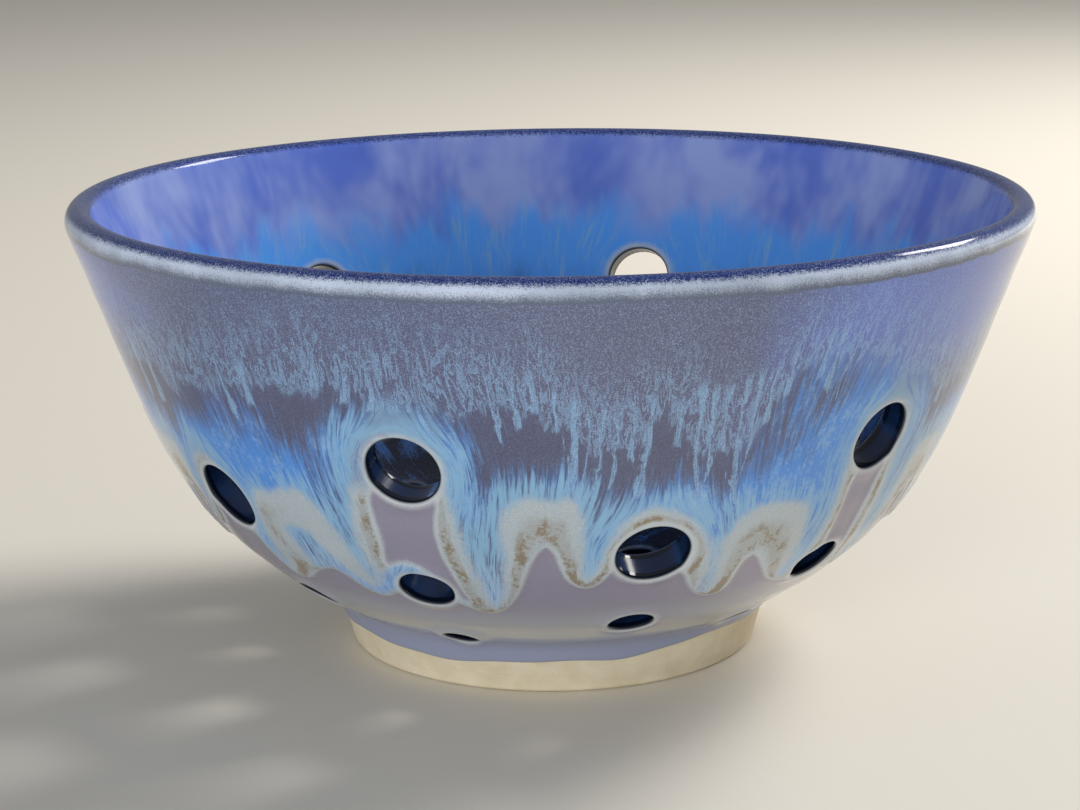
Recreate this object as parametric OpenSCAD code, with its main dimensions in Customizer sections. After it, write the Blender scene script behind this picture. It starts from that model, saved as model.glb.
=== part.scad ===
// Berry colander bowl: a wheel-thrown stoneware bowl on a turned foot ring, with drain holes
// bored square to its wall, a base glaze inside and out, a second glaze dipped over the rim
// that has run down in drips, and a glaze lining in each hole.
// It stands on z = 0 with its axis on Z, and its front looks along -Y.

/* [Bowl] */
// Outer diameter over the lip
rim_d = 165; // [150:1:190]
// Height from the table to the top of the lip
bowl_h = 78.6; // [70:0.2:92]
// Thickness of the rounded lip, with its glazes
lip_t = 4.8; // [4.2:0.1:6]
// Lean of the wall at the lip, in degrees from upright
lip_lean = 21.3; // [17:0.1:25]
// Thickness of the floor in the middle, with its glaze
floor_t = 5.8; // [4.8:0.1:7]
// Height of the middle of the floor over the crease where the wall meets the foot
floor_rise = 0.4; // [0:0.1:1.5]

/* [Wall curve] */
// Rise of the outside of the wall at the foot, in degrees from level
foot_rise = 28.8; // [25:0.2:33]
// Length of the handle that holds the outside to that rise
belly_reach = 33.5; // [30:0.5:37]
// Length of the handle that holds the outside to the lean of the lip
shoulder_reach = 39.4; // [35:0.2:44]

/* [Foot ring] */
// Outer diameter of the foot where it stands
foot_d = 71.4; // [66:0.2:75]
// Outer diameter of the foot at the crease under the wall
foot_top_d = 76.2; // [73:0.2:82]
// Height of the crease over the table
foot_h = 9.5; // [8:0.1:12]
// Width of the standing face, with its rounded edges
foot_w = 6; // [5:0.1:8]
// Radius of the sponged edges of the standing face
foot_edge_r = 0.9; // [0.4:0.1:1.6]

/* [Drain holes] */
// Finished bore of the large holes
large_hole_d = 11.6; // [9:0.1:13]
// Finished bore of the middle holes
medium_hole_d = 8.6; // [7:0.1:9.6]
// Finished bore of the small holes above the foot
small_hole_d = 5.6; // [4:0.1:6.4]
// Finished bore of the holes in the floor
floor_hole_d = 6; // [4:0.1:8]
// Radius of the circle of floor holes
floor_circle_r = 17; // [14:0.5:21]
// Holes on that circle
floor_hole_count = 6; // [4:1:8]

/* [Glaze] */
// Thickness of the base glaze
base_glaze_t = 0.5; // [0.3:0.05:0.7]
// Thickness of the dipped glaze over it
dip_glaze_t = 0.35; // [0.2:0.05:0.5]
// Thickness of the glaze lining in the holes
lining_t = 0.4; // [0.2:0.05:0.6]
// Height of the glaze line on the side of the foot
glaze_line_h = 6.3; // [5:0.1:7.2]
// Height of the dip's edge, between its drips, over the lower large holes
dip_over_holes = 0.6; // [0:0.1:3]
// Width of a full drip
drip_w = 11; // [9:0.5:12]

/* [Hidden] */

// Overrun of every cut past what it cuts
cut_over = 2;
// Straight steps along each face of the wall, and round the lip and the foot's edges
wall_steps = 24;
round_steps = 12;
$fn = 64;

// Depths under the finished surface of the wall: of the base glaze's face and of the clay
base_depth = dip_glaze_t;
clay_depth = dip_glaze_t + base_glaze_t;
lip_r = lip_t / 2;
floor_z = foot_h + floor_rise;
recess_h = floor_z - floor_t;
foot_in_r = foot_d / 2 - foot_w;
bore_reach = 2 * floor_t;
low_hole_d = (medium_hole_d + small_hole_d) / 2;

// Holes of a column as shares of the way up the outside: a tall column has a large, a middle
// and a small hole, and a low column a large one and one a little over the small size
tall_up_shares = [0.685, 0.315, 0.045];
low_up_shares = [0.455, 0.152];
// Columns as they were spaced by eye: share of a turn from the front towards +X, the turn by
// which each lower hole trails the one above, and how much further up its large hole sits
tall_column_shares = [[-0.051, -0.0036, 0], [0.128, -0.0006, 0.003], [0.294, 0.001, 0.01],
                      [0.459, -0.001, 0.031], [0.61, 0.002, 0.026], [0.775, -0.002, 0.02]];
low_column_shares = [[0.0385, 0.0013, 0], [0.211, 0.001, 0.02], [0.378, -0.001, 0.01],
                     [0.533, 0.001, 0.02], [0.689, -0.001, 0.03], [0.8574, 0.001, 0.07]];
// Drips of the dip: share of a turn from the front, width as a share of a full drip's, and
// height of the tip as a share of the bowl's
drip_shares = [[-0.133, 0.9, 0.27], [-0.08, 0.65, 0.315], [-0.022, 0.95, 0.267], [0.012, 0.6, 0.327],
               [0.068, 0.9, 0.276], [0.106, 0.75, 0.276], [0.154, 0.7, 0.33], [0.184, 0.8, 0.29],
               [0.24, 0.9, 0.28], [0.266, 0.6, 0.32], [0.322, 0.9, 0.27], [0.35, 0.6, 0.33],
               [0.406, 0.95, 0.28], [0.432, 0.6, 0.33], [0.49, 0.9, 0.27], [0.57, 0.95, 0.28],
               [0.65, 0.9, 0.27], [0.716, 0.7, 0.32], [0.748, 0.7, 0.28], [0.802, 0.7, 0.32],
               [0.83, 0.75, 0.29]];
// How the inside's handles follow the outside's, as shares of them
floor_handle_share = 0.905;
inner_handle_share = 0.95;

// The direction a quarter turn clockwise from v, of length 1
function right_of(v) = [v.y, -v.x] / norm(v);
function arc(center, r, from, to) =
    [for (i = [0:round_steps]) center + r * [cos(from + (to - from) * i / round_steps),
                                             sin(from + (to - from) * i / round_steps)]];
function reversed(points) = [for (i = [len(points) - 1:-1:0]) points[i]];
function without_first(points) = [for (i = [1:len(points) - 1]) points[i]];

// Handles of the two cubic curves: the outside from the crease to the lip, the inside from
// the middle of the floor to the lip. Radius is x and height is y
lip_center = [rim_d / 2 - lip_r, bowl_h - lip_r];
lean_run = [sin(lip_lean), cos(lip_lean)];
rise_run = [cos(foot_rise), sin(foot_rise)];
foot_corner = [foot_top_d / 2, foot_h];
foot_run = (foot_corner - [foot_d / 2, 0]) / norm(foot_corner - [foot_d / 2, 0]);
crease = foot_corner + clay_depth * right_of(rise_run);
lip_side = lip_r * right_of(lean_run);
outside_handles = [crease, crease + belly_reach * rise_run,
                   lip_center + lip_side - shoulder_reach * lean_run, lip_center + lip_side];
inside_handles = [[0, floor_z], [floor_handle_share * outside_handles[1].x, floor_z],
                  lip_center - lip_side - inner_handle_share * shoulder_reach * lean_run,
                  lip_center - lip_side];

// Point and direction at share t of a cubic curve
function curve_point(h, t) =
    pow(1 - t, 3) * h[0] + 3 * t * pow(1 - t, 2) * h[1] + 3 * t * t * (1 - t) * h[2] + pow(t, 3) * h[3];
function curve_run(h, t) =
    pow(1 - t, 2) * (h[1] - h[0]) + 2 * t * (1 - t) * (h[2] - h[1]) + t * t * (h[3] - h[2]);

// The wall's faces at a depth under the finished surface
function outside_point(t, depth) =
    curve_point(outside_handles, t) - depth * right_of(curve_run(outside_handles, t));
function inside_point(t, depth) =
    curve_point(inside_handles, t) + depth * right_of(curve_run(inside_handles, t));

// Outlines of those faces: up the outside from share low, over the lip between two angles,
// and down the inside to share low. Each stops short of the lip's first and last points
function up_outside(depth, low = 0) =
    [for (i = [0:wall_steps - 1]) outside_point(low + (1 - low) * i / wall_steps, depth)];
function over_lip(depth, from, to) = arc(lip_center, lip_r - depth, from, to);
function down_inside(depth, low = 0) =
    [for (i = [wall_steps - 1:-1:0]) inside_point(low + (1 - low) * i / wall_steps, depth)];
lip_out = -lip_lean;
lip_top = 90;
lip_in = 180 - lip_lean;
dip_line_h = outside_point(low_up_shares[0], 0).y + large_hole_d / 2 + dip_over_holes;

module turned(points) {
    rotate_extrude()
        polygon(points);
}

// A cylinder on the normal of the outside of the wall
module wall_cylinder(turn_share, up_share, d) {
    place = outside_point(up_share, 0);
    run = curve_run(outside_handles, up_share);
    rotate([0, 0, 360 * turn_share - 90])
        translate([place.x, 0, place.y])
        rotate([0, 180 - atan2(run.y, run.x), 0])
        translate([0, 0, -bore_reach])
        cylinder(d = d, h = bore_reach + cut_over);
}

// The bores of each size, wider by grow
module large_bores(grow) {
    for (c = tall_column_shares)
        wall_cylinder(c[0], tall_up_shares[0] + c[2], large_hole_d + grow);
    for (c = low_column_shares)
        wall_cylinder(c[0], low_up_shares[0] + c[2], large_hole_d + grow);
}

module medium_bores(grow) {
    for (c = tall_column_shares)
        wall_cylinder(c[0] + c[1], tall_up_shares[1], medium_hole_d + grow);
}

module small_bores(grow) {
    for (c = tall_column_shares)
        wall_cylinder(c[0] + 2 * c[1], tall_up_shares[2], small_hole_d + grow);
    for (c = low_column_shares)
        wall_cylinder(c[0] + c[1], low_up_shares[1], low_hole_d + grow);
}

module floor_bores(grow) {
    places = [[0, 0], for (i = [0:floor_hole_count - 1])
        floor_circle_r * [sin(360 * i / floor_hole_count), -cos(360 * i / floor_hole_count)]];
    for (place = places)
        translate([place.x, place.y, recess_h - cut_over])
        cylinder(d = floor_hole_d + grow, h = bore_reach + cut_over);
}

module all_bores(grow) {
    large_bores(grow);
    medium_bores(grow);
    small_bores(grow);
    floor_bores(grow);
}

// The thrown bowl before it is bored, down to the cone where it sits on the foot ring
module unbored_clay() {
    turned(concat(
        up_outside(clay_depth),
        over_lip(clay_depth, lip_out, lip_in),
        down_inside(clay_depth),
        [[0, recess_h], [foot_in_r, recess_h]]));
}

module clay_bowl() {
    color("linen")
        difference() {
            unbored_clay();
            all_bores(2 * lining_t);
        }
}

// The turned ring that the bowl stands on, open in the middle
module foot_ring() {
    outer_edge = [foot_d / 2 - foot_edge_r, foot_edge_r];
    inner_edge = [foot_in_r + foot_edge_r, foot_edge_r];
    color("antiquewhite")
        turned(concat(
            [foot_corner, [foot_in_r, recess_h]],
            arc(inner_edge, foot_edge_r, 180, 270),
            arc(outer_edge, foot_edge_r, -90, -atan2(foot_run.x, foot_run.y))));
}

// The base glaze from the crown of the lip down the inside and over the floor
module inside_base_glaze() {
    color("slateblue")
        difference() {
            turned(concat(
                over_lip(base_depth, lip_top, lip_in),
                down_inside(base_depth),
                reversed(down_inside(clay_depth)),
                reversed(over_lip(clay_depth, lip_top, lip_in))));
            all_bores(0);
        }
}

// The base glaze from the crown of the lip down the outside and past the crease to its edge
// on the foot. Its face turns the crease at the corner where its two slopes meet
module outside_base_glaze() {
    edge = [foot_d / 2, 0] + foot_run * glaze_line_h / foot_run.y;
    face = right_of(foot_run);
    crease_face = foot_corner
        + base_glaze_t * (right_of(rise_run) + face) / (1 + rise_run * foot_run);
    color("rosybrown")
        difference() {
            turned(concat(
                [edge],
                up_outside(clay_depth),
                over_lip(clay_depth, lip_out, lip_top),
                reversed(over_lip(base_depth, lip_out, lip_top)),
                reversed(without_first(up_outside(base_depth))),
                [crease_face, edge + base_glaze_t * face]));
            all_bores(0);
        }
}

// The curtain that leaves the dip's edge: all above the dip line, and a round-ended strip
// from the axis outwards for each drip
module dip_curtain() {
    translate([0, 0, dip_line_h])
        cylinder(d = rim_d + cut_over, h = bowl_h);
    for (drip = drip_shares)
        rotate([0, 0, 360 * drip[0]])
        translate([0, -foot_top_d / 2 - clay_depth, 0])
        rotate([90, 0, 0])
        linear_extrude(rim_d / 2)
        drip_strip(drip[1] * drip_w, drip[2] * bowl_h);
}

module drip_strip(w, tip) {
    translate([0, tip + w / 2])
        circle(d = w);
    translate([-w / 2, tip + w / 2])
        square([w, dip_line_h + cut_over - tip - w / 2]);
}

// The second glaze over the lip, down both sides of the wall to the ends of its drips
module rim_dip_glaze() {
    low = 0.2;
    color("royalblue")
        difference() {
            intersection() {
                turned(concat(
                    up_outside(0, low),
                    over_lip(0, lip_out, lip_in),
                    down_inside(0, low),
                    reversed(down_inside(base_depth, low)),
                    reversed(over_lip(base_depth, lip_out, lip_in)),
                    reversed(up_outside(base_depth, low))));
                dip_curtain();
            }
            all_bores(0);
        }
}

// Glaze sleeves between the clay's bores and the finished ones, cut off level with the clay
module linings() {
    color("navy")
        intersection() {
            unbored_clay();
            difference() {
                children(0);
                children(1);
            }
        }
}

module large_hole_linings() {
    linings() {
        large_bores(2 * lining_t);
        large_bores(0);
    }
}

module medium_hole_linings() {
    linings() {
        medium_bores(2 * lining_t);
        medium_bores(0);
    }
}

module small_hole_linings() {
    linings() {
        small_bores(2 * lining_t);
        small_bores(0);
    }
}

module floor_hole_linings() {
    linings() {
        floor_bores(2 * lining_t);
        floor_bores(0);
    }
}

clay_bowl();
foot_ring();
inside_base_glaze();
outside_base_glaze();
rim_dip_glaze();
large_hole_linings();
medium_hole_linings();
small_hole_linings();
floor_hole_linings();
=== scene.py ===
"""Dresses the berry colander bowl: its running glazes, lined drain holes, bare foot, light and camera."""

import bpy
import numpy as np
from bpy.props import FloatProperty, FloatVectorProperty, IntProperty, PointerProperty
from mathutils import Matrix


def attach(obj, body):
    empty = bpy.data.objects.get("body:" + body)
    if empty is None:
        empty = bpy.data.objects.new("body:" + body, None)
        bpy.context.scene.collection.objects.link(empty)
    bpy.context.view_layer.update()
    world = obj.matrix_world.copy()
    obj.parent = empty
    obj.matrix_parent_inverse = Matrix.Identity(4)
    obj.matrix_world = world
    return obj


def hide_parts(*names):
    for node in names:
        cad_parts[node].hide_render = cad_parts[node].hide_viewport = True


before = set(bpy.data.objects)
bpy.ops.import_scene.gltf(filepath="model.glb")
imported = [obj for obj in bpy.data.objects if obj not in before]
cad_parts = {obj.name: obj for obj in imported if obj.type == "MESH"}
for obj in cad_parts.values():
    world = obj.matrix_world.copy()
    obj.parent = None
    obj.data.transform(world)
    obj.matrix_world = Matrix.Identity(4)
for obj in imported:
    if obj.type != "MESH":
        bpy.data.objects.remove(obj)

bl_info = {
    "name": "Berry Colander Bowl",
    "version": (1, 0, 0),
    "blender": (4, 5, 0),
    "location": "View3D > Sidebar > Bowl",
    "description": "Makes the glazes, hole linings, foot and stage of a stoneware berry colander bowl",
    "category": "Object",
}

MM = 0.001
TURN = 2 * np.pi
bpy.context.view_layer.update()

# Holes of a column as shares of the way up the outside: a tall column has a large, a middle and
# a small hole, and a low column a large one and one a little over the small size
TALL_UP = (0.685, 0.315, 0.045)
LOW_UP = (0.455, 0.152)
# Columns as they were spaced by eye: share of a turn from the front towards +X, the turn by which
# each lower hole trails the one above, and how much further up its large hole sits
TALL_COLUMNS = (
    (-0.051, -0.0036, 0), (0.128, -0.0006, 0.003), (0.294, 0.001, 0.01), (0.459, -0.001, 0.031),
    (0.61, 0.002, 0.026), (0.775, -0.002, 0.02))
LOW_COLUMNS = (
    (0.0385, 0.0013, 0), (0.211, 0.001, 0.02), (0.378, -0.001, 0.01), (0.533, 0.001, 0.02),
    (0.689, -0.001, 0.03), (0.8574, 0.001, 0.07))
# Arches of the dip that stand between the columns and part the glaze as it runs: share of a turn,
# height of the middle of the round top over the table and its half width, in millimetres
MID_ARCHES = (
    (-0.107, 33, 5), (-0.003, 31, 4.2), (0.079, 27, 3.6), (0.173, 31, 4.2), (0.252, 28, 3.6),
    (0.338, 31, 4.2), (0.42, 28, 3.6), (0.5, 31, 4.2), (0.572, 28, 3.6), (0.654, 31, 4.2),
    (0.733, 28, 3.6), (0.82, 31, 4.2))
# The dip's lower edge, drawn from one column of holes to the next: share of the way, and
# height over the table in millimetres. One for the front's left, and one each from a tall column
# to a low one and back
EDGE_LEFT = (
    (0.0, 36), (0.05, 29), (0.05, 25.5), (0.08, 22.5), (0.13, 21.4), (0.2, 21.5), (0.26, 22.2),
    (0.3, 23.2), (0.37, 24.6), (0.44, 25.6), (0.49, 25.8), (0.53, 25), (0.57, 23.6), (0.62, 22.1),
    (0.69, 21.1), (0.76, 22), (0.83, 23.9), (0.96, 24.1))
EDGE_MIDDLE = (
    (0.09, 22.3), (0.14, 20.8), (0.21, 19.7), (0.29, 19.7), (0.34, 20.8), (0.42, 24.7), (0.46, 29.4),
    (0.5, 32.4), (0.54, 34.4), (0.58, 32.4), (0.6, 29.4), (0.64, 26.7), (0.71, 25.1), (0.78, 25.8),
    (0.82, 28.7), (0.85, 30.3), (1, 31.6))
EDGE_TALL_LOW = (
    (0, 46.5), (0.11, 42), (0.1, 36), (0.11, 31), (0.13, 26), (0.17, 22.5), (0.24, 20.3), (0.31, 20.6),
    (0.4, 24)) + EDGE_MIDDLE[6:]
EDGE_LOW_TALL = (
    (0, 31.6), (0.17, 27.3), (0.21, 24.7), (0.29, 21.9), (0.39, 21.1), (0.45, 21.8), (0.46, 24.5),
    (0.455, 26.7), (0.47, 28.8), (0.5, 29.4), (0.54, 28.1), (0.61, 25.3), (0.69, 22.5), (0.8, 21),
    (0.88, 21.2), (0.94, 24), (0.95, 28), (0.935, 32), (0.92, 37), (0.92, 42), (1, 46.5))
# The bare glaze that hangs under the front's left hole, closed off by the dip below, and the blue
# glaze that crosses under it. Shares run from the column's own place, to the right
WAKE_ISLAND = (
    (0, 46.5), (-0.12, 44.5), (-0.17, 41), (-0.165, 37), (-0.16, 33.5), (-0.18, 30.5), (-0.19, 28.6),
    (-0.12, 29.9), (-0.07, 30), (-0.02, 29.3), (0.02, 28.3), (0.07, 26.8), (0.1, 24.7), (0.14, 22.5),
    (0.17, 21.9), (0.14, 24.8), (0.12, 28), (0.09, 31), (0.08, 34.8), (0.09, 38.5), (0.12, 42), (0.1, 45))
BLUE_ISLAND = (
    (-0.68, 33.3), (-0.55, 33.8), (-0.5, 30.4), (-0.42, 26.9), (-0.35, 24.1), (-0.3, 23.6), (-0.19, 28.5),
    (-0.12, 29.7), (-0.07, 29.7), (-0.02, 29.1), (0.02, 28.1), (0.07, 26.5), (0.1, 24.5), (0.13, 22.3),
    (0.19, 20.4), (0.15, 21.6), (0.09, 22.8), (-0.04, 24.1), (-0.17, 24.2), (-0.23, 22.9), (-0.3, 22),
    (-0.37, 22.9), (-0.42, 24.1), (-0.46, 25.4), (-0.51, 26.3), (-0.61, 25.3), (-0.65, 26), (-0.65, 29.2),
    (-0.68, 31.9))
# The outer line of the cream band over that edge, drawn the same way
CREAM_LEFT = (
    (0, 43.5), (0.07, 41), (0.1, 36), (0.09, 30), (0.09, 26), (0.12, 22.9), (0.16, 23.5), (0.17, 26),
    (0.17, 29.1), (0.19, 34.1), (0.22, 38.4), (0.27, 39.7), (0.31, 39.4), (0.35, 38.8), (0.41, 40),
    (0.47, 41.1), (0.51, 41.2), (0.55, 39.8), (0.59, 37), (0.62, 34.2), (0.64, 32), (0.67, 29),
    (0.69, 25.9), (0.71, 24.2), (0.735, 26), (0.735, 29.7), (0.72, 33.2), (0.73, 37), (0.76, 41),
    (0.78, 45), (0.8, 49), (0.88, 53), (1, 54.2))
CREAM_TALL_LOW = (
    (0, 54.2), (0.1, 52.8), (0.17, 49), (0.175, 45), (0.17, 42), (0.18, 38.8), (0.2, 35.1), (0.21, 31.3),
    (0.24, 27.3), (0.26, 23.1), (0.29, 21), (0.32, 22.3), (0.35, 25.3), (0.37, 30), (0.36, 35.4),
    (0.37, 39.1), (0.41, 42), (0.46, 43.2), (0.51, 43), (0.56, 42), (0.61, 43.2), (0.66, 42),
    (0.69, 39.4), (0.69, 36.5), (0.7, 32.1), (0.69, 29.2), (0.7, 27.6), (0.72, 28.1), (0.77, 30.4),
    (0.8, 34.3), (0.85, 38.2), (0.95, 40))
CREAM_LOW_TALL = (
    (0, 40.2), (0.07, 39), (0.14, 37.3), (0.21, 34.9), (0.26, 32), (0.28, 27.9), (0.27, 25), (0.27, 23.2),
    (0.32, 22.4), (0.35, 24.1), (0.32, 27.7), (0.3, 31.8), (0.31, 33.6), (0.34, 35.4), (0.38, 38.1),
    (0.45, 38.9), (0.56, 38.7), (0.66, 37.8), (0.71, 35.9), (0.74, 31.4), (0.75, 27.6), (0.75, 24.8),
    (0.75, 22.8), (0.8, 22.4), (0.84, 25), (0.86, 28.4), (0.86, 33.1), (0.85, 37), (0.83, 42), (0.83, 47),
    (0.88, 52))
# Lower end of the veil's frayed zone: share of a turn, and height over the table in millimetres
FRAY_ENDS = (
    (-0.13, 55), (-0.09, 58), (-0.075, 59.5), (-0.056, 58), (-0.04, 58), (-0.02, 57), (-0.005, 57),
    (0.004, 55), (0.014, 49), (0.028, 53), (0.042, 54), (0.05, 49), (0.064, 50), (0.072, 57), (0.08, 61),
    (0.095, 63), (0.108, 62), (0.14, 56), (0.16, 50), (0.19, 53), (0.21, 60), (0.24, 51), (0.27, 57),
    (0.3, 61), (0.33, 51), (0.36, 56), (0.38, 59), (0.41, 50), (0.44, 56), (0.47, 61), (0.5, 50),
    (0.53, 57), (0.57, 50), (0.61, 60), (0.65, 51), (0.69, 58), (0.72, 52), (0.76, 59), (0.79, 51),
    (0.83, 57))


def length(name, description, millimetres):
    """A size for the sidebar, kept in metres"""
    return FloatProperty(name=name, description=description, default=millimetres * MM, unit="LENGTH")


def slope(name, description, degrees):
    """An angle for the sidebar, kept in radians"""
    return FloatProperty(name=name, description=description, default=np.radians(degrees), subtype="ANGLE")


class BowlSizes(bpy.types.PropertyGroup):
    """Sizes of the bowl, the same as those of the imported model"""
    rim_d: length("Rim", "Outer diameter over the lip", 165)
    bowl_h: length("Height", "Table to the top of the lip", 78.6)
    lip_t: length("Lip", "Thickness of the rounded lip", 4.8)
    lip_lean: slope("Lip lean", "Lean of the wall at the lip from upright", 21.3)
    foot_rise: slope("Foot rise", "Rise of the outside at the foot from level", 28.8)
    belly_reach: length("Belly reach", "Handle that holds the outside to its rise", 33.5)
    shoulder_reach: length("Shoulder reach", "Handle that holds it to the lip's lean", 39.4)
    floor_t: length("Floor", "Thickness of the middle of the floor", 5.8)
    floor_rise: length("Floor rise", "Middle of the floor over the crease", 0.4)
    foot_d: length("Foot", "Outer diameter of the foot at the table", 71.4)
    foot_top_d: length("Foot top", "Outer diameter of the foot at the crease", 76.2)
    foot_h: length("Foot height", "Height of the crease", 9.5)
    foot_w: length("Foot width", "Width of the standing face", 6)
    glaze_line: length("Glaze line", "Height of the glaze's edge on the foot", 6.3)
    large_hole: length("Large holes", "Bore of the large holes", 11.6)
    medium_hole: length("Middle holes", "Bore of the middle holes", 8.6)
    small_hole: length("Small holes", "Bore of the small holes", 5.6)
    floor_hole: length("Floor holes", "Bore of the floor holes", 6)
    floor_circle: length("Floor circle", "Radius of the circle of floor holes", 17)
    hole_edge: length("Hole edge", "Radius of the sponged edge round a hole", 0.75)
    base_t: length("Base glaze", "Thickness of the base glaze", 0.5)
    dip_t: length("Dip glaze", "Thickness of the dipped glaze", 0.35)
    lining_t: length("Lining", "Thickness of the glaze in the holes", 0.4)
    shell_t: length("Shell", "Thickness that the glaze meshes are given", 0.3)
    pitch: length("Pitch", "Step of the glaze meshes along the wall where the dip ends. It is nearly twice "
                  "that under the lip and a third more inside", 1)
    columns: IntProperty(
        name="Columns", description="Steps of the glaze meshes round the bowl", default=360)


def sizes():
    """The sizes that the sidebar shows"""
    return bpy.context.scene.bowl_sizes


# The wall as a line, and the holes in it

def right_of(v):
    """The direction a quarter turn clockwise from v, of length 1"""
    return np.array([v[1], -v[0]]) / np.hypot(v[0], v[1])


def cubic(handles, t):
    """Points at shares t of a cubic curve: its four handles weighted by the binomials of t"""
    t = t[:, None]
    a, b, c, d = (np.asarray(h) for h in handles)
    return (1 - t) ** 3 * a + 3 * t * (1 - t) ** 2 * b + 3 * t * t * (1 - t) * c + t ** 3 * d


def smooth(low, high, x):
    """The share of the way from low to high, eased at both ends"""
    t = np.clip((x - low) / (high - low), 0, 1)
    return t * t * (3 - 2 * t)


def wall_line():
    """The finished surface in the plane of radius and height, by the length along it: up the side
    of the foot, round the crease, up the outside curve, over the lip and down the inside curve.
    Both curves are cubics, the lip is an arc and the crease an arc-like parabola."""
    p = sizes()
    deep = p.base_t + p.dip_t
    lip_r = p.lip_t / 2
    center = np.array([p.rim_d / 2 - lip_r, p.bowl_h - lip_r])
    lean = np.array([np.sin(p.lip_lean), np.cos(p.lip_lean)])
    rise = np.array([np.cos(p.foot_rise), np.sin(p.foot_rise)])
    foot_top = np.array([p.foot_top_d / 2, p.foot_h])
    foot_low = np.array([p.foot_d / 2, 0])
    foot_run = (foot_top - foot_low) / np.linalg.norm(foot_top - foot_low)
    start = foot_top + deep * right_of(rise)
    side = lip_r * right_of(lean)
    outside = (start, start + p.belly_reach * rise, center + side - p.shoulder_reach * lean, center + side)
    floor_z = p.foot_h + p.floor_rise
    inside = (np.array([0, floor_z]), np.array([FLOOR_HANDLE * outside[1][0], floor_z]),
              center - side - INNER_HANDLE * p.shoulder_reach * lean, center - side)
    corner = foot_top + deep * (right_of(rise) + right_of(foot_run)) / (1 + rise @ foot_run)
    t = np.linspace(0, 1, CURVE_STEPS)
    up = cubic(outside, t)
    keep = np.linalg.norm(up - corner, axis=1) > CREASE_FILLET
    first = up[keep][0]
    foot_side = foot_low + deep * right_of(foot_run)
    foot_end = corner - CREASE_FILLET * foot_run
    b = np.linspace(0, 1, CREASE_STEPS)[:, None]
    crease = (1 - b) ** 2 * foot_end + 2 * b * (1 - b) * corner + b * b * first
    angles = np.linspace(-p.lip_lean, np.pi - p.lip_lean, LIP_STEPS)[1:-1]
    lip = center + lip_r * np.stack([np.cos(angles), np.sin(angles)], 1)
    down = cubic(inside, t[::-1])
    foot_up = foot_side + np.linspace(0, 1, FOOT_STEPS)[:-1, None] * (foot_end - foot_side)
    points = np.concatenate([foot_up, crease, up[keep][1:], lip, down])
    step = np.linalg.norm(np.diff(points, axis=0), axis=1)
    s = np.concatenate([[0], np.cumsum(step)])
    run = np.gradient(points, s, axis=0)
    normal = np.stack([run[:, 1], -run[:, 0]], 1) / np.linalg.norm(run, axis=1)[:, None]
    crown = s[np.argmax(points[:, 1])]
    outside_s = np.interp(t, t[keep], s[len(foot_up) + len(crease) - 1:][:int(keep.sum())])
    return {"s": s, "r": points[:, 0], "z": points[:, 1], "nr": normal[:, 0], "nz": normal[:, 1],
            "crown": crown, "end": s[-1], "t": t, "outside_s": outside_s,
            "lip_in": s[-len(down)], "foot_run": foot_run}


# Shares by which the inside's handles follow the outside's, and the softened corner of the crease
FLOOR_HANDLE = 0.905
INNER_HANDLE = 0.95
CREASE_FILLET = 1.6 * MM
# Points along each of the two curves, along the crease, over the lip and up the foot
CURVE_STEPS = 3000
CREASE_STEPS = 60
LIP_STEPS = 200
FOOT_STEPS = 50


def on_line(line, s):
    """Radius, height and outward normal at lengths s along the wall"""
    return [np.interp(s, line["s"], line[k]) for k in ("r", "z", "nr", "nz")]


def inside_length(line, key, value):
    """The length along the inside where the line's radius or height, both falling there, has a value"""
    inside = line["s"] >= line["lip_in"]
    return np.interp(-value, -line[key][inside], line["s"][inside])


def surface(line, theta, s, sink=0):
    """Points at angle theta from the front and length s along the wall, sunk by sink along the
    normal: the line turned about the bowl's axis"""
    r, z, nr, nz = on_line(line, s)
    r = r - sink * nr
    z = z - sink * nz
    return np.stack([r * np.sin(theta), -r * np.cos(theta), z], -1)


def all_holes(line):
    """The holes as a list: turn, centre and axis, bore, and where the axis meets each face. A wall
    hole's axis is the outside's normal at its share of the way up, a floor hole's is upright."""
    p = sizes()
    places = []
    tall = ((p.large_hole, "large"), (p.medium_hole, "medium"), (p.small_hole, "small"))
    for turn, trail, lift in TALL_COLUMNS:
        for k, (bore, kind) in enumerate(tall):
            places.append((turn + k * trail, TALL_UP[k] + (lift if k == 0 else 0), bore, kind))
    for turn, trail, lift in LOW_COLUMNS:
        places.append((turn, LOW_UP[0] + lift, p.large_hole, "large"))
        places.append((turn + trail, LOW_UP[1], (p.medium_hole + p.small_hole) / 2, "small"))
    holes = []
    inner = line["s"] >= line["lip_in"]
    for turn, up, bore, kind in places:
        s_out = np.interp(up, line["t"], line["outside_s"])
        r, z, nr, nz = (float(v) for v in on_line(line, s_out))
        across = np.abs((line["r"] - r) * nz - (line["z"] - z) * nr)
        across[~inner | (line["r"] > r)] = 1
        s_in = line["s"][np.argmin(across)]
        holes.append(hole(turn * TURN, (r, z), (nr, nz), bore, kind, s_out, s_in))
    circle = [(0, 0)] + [(k / FLOOR_HOLES, p.floor_circle) for k in range(FLOOR_HOLES)]
    floor_z = p.foot_h + p.floor_rise - p.floor_t
    for turn, r in circle:
        s_in = inside_length(line, "r", r)
        holes.append(hole(turn * TURN, (r, floor_z), (0, -1), p.floor_hole, "floor", None, s_in))
    return holes


# Holes on the circle in the floor
FLOOR_HOLES = 6


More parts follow.
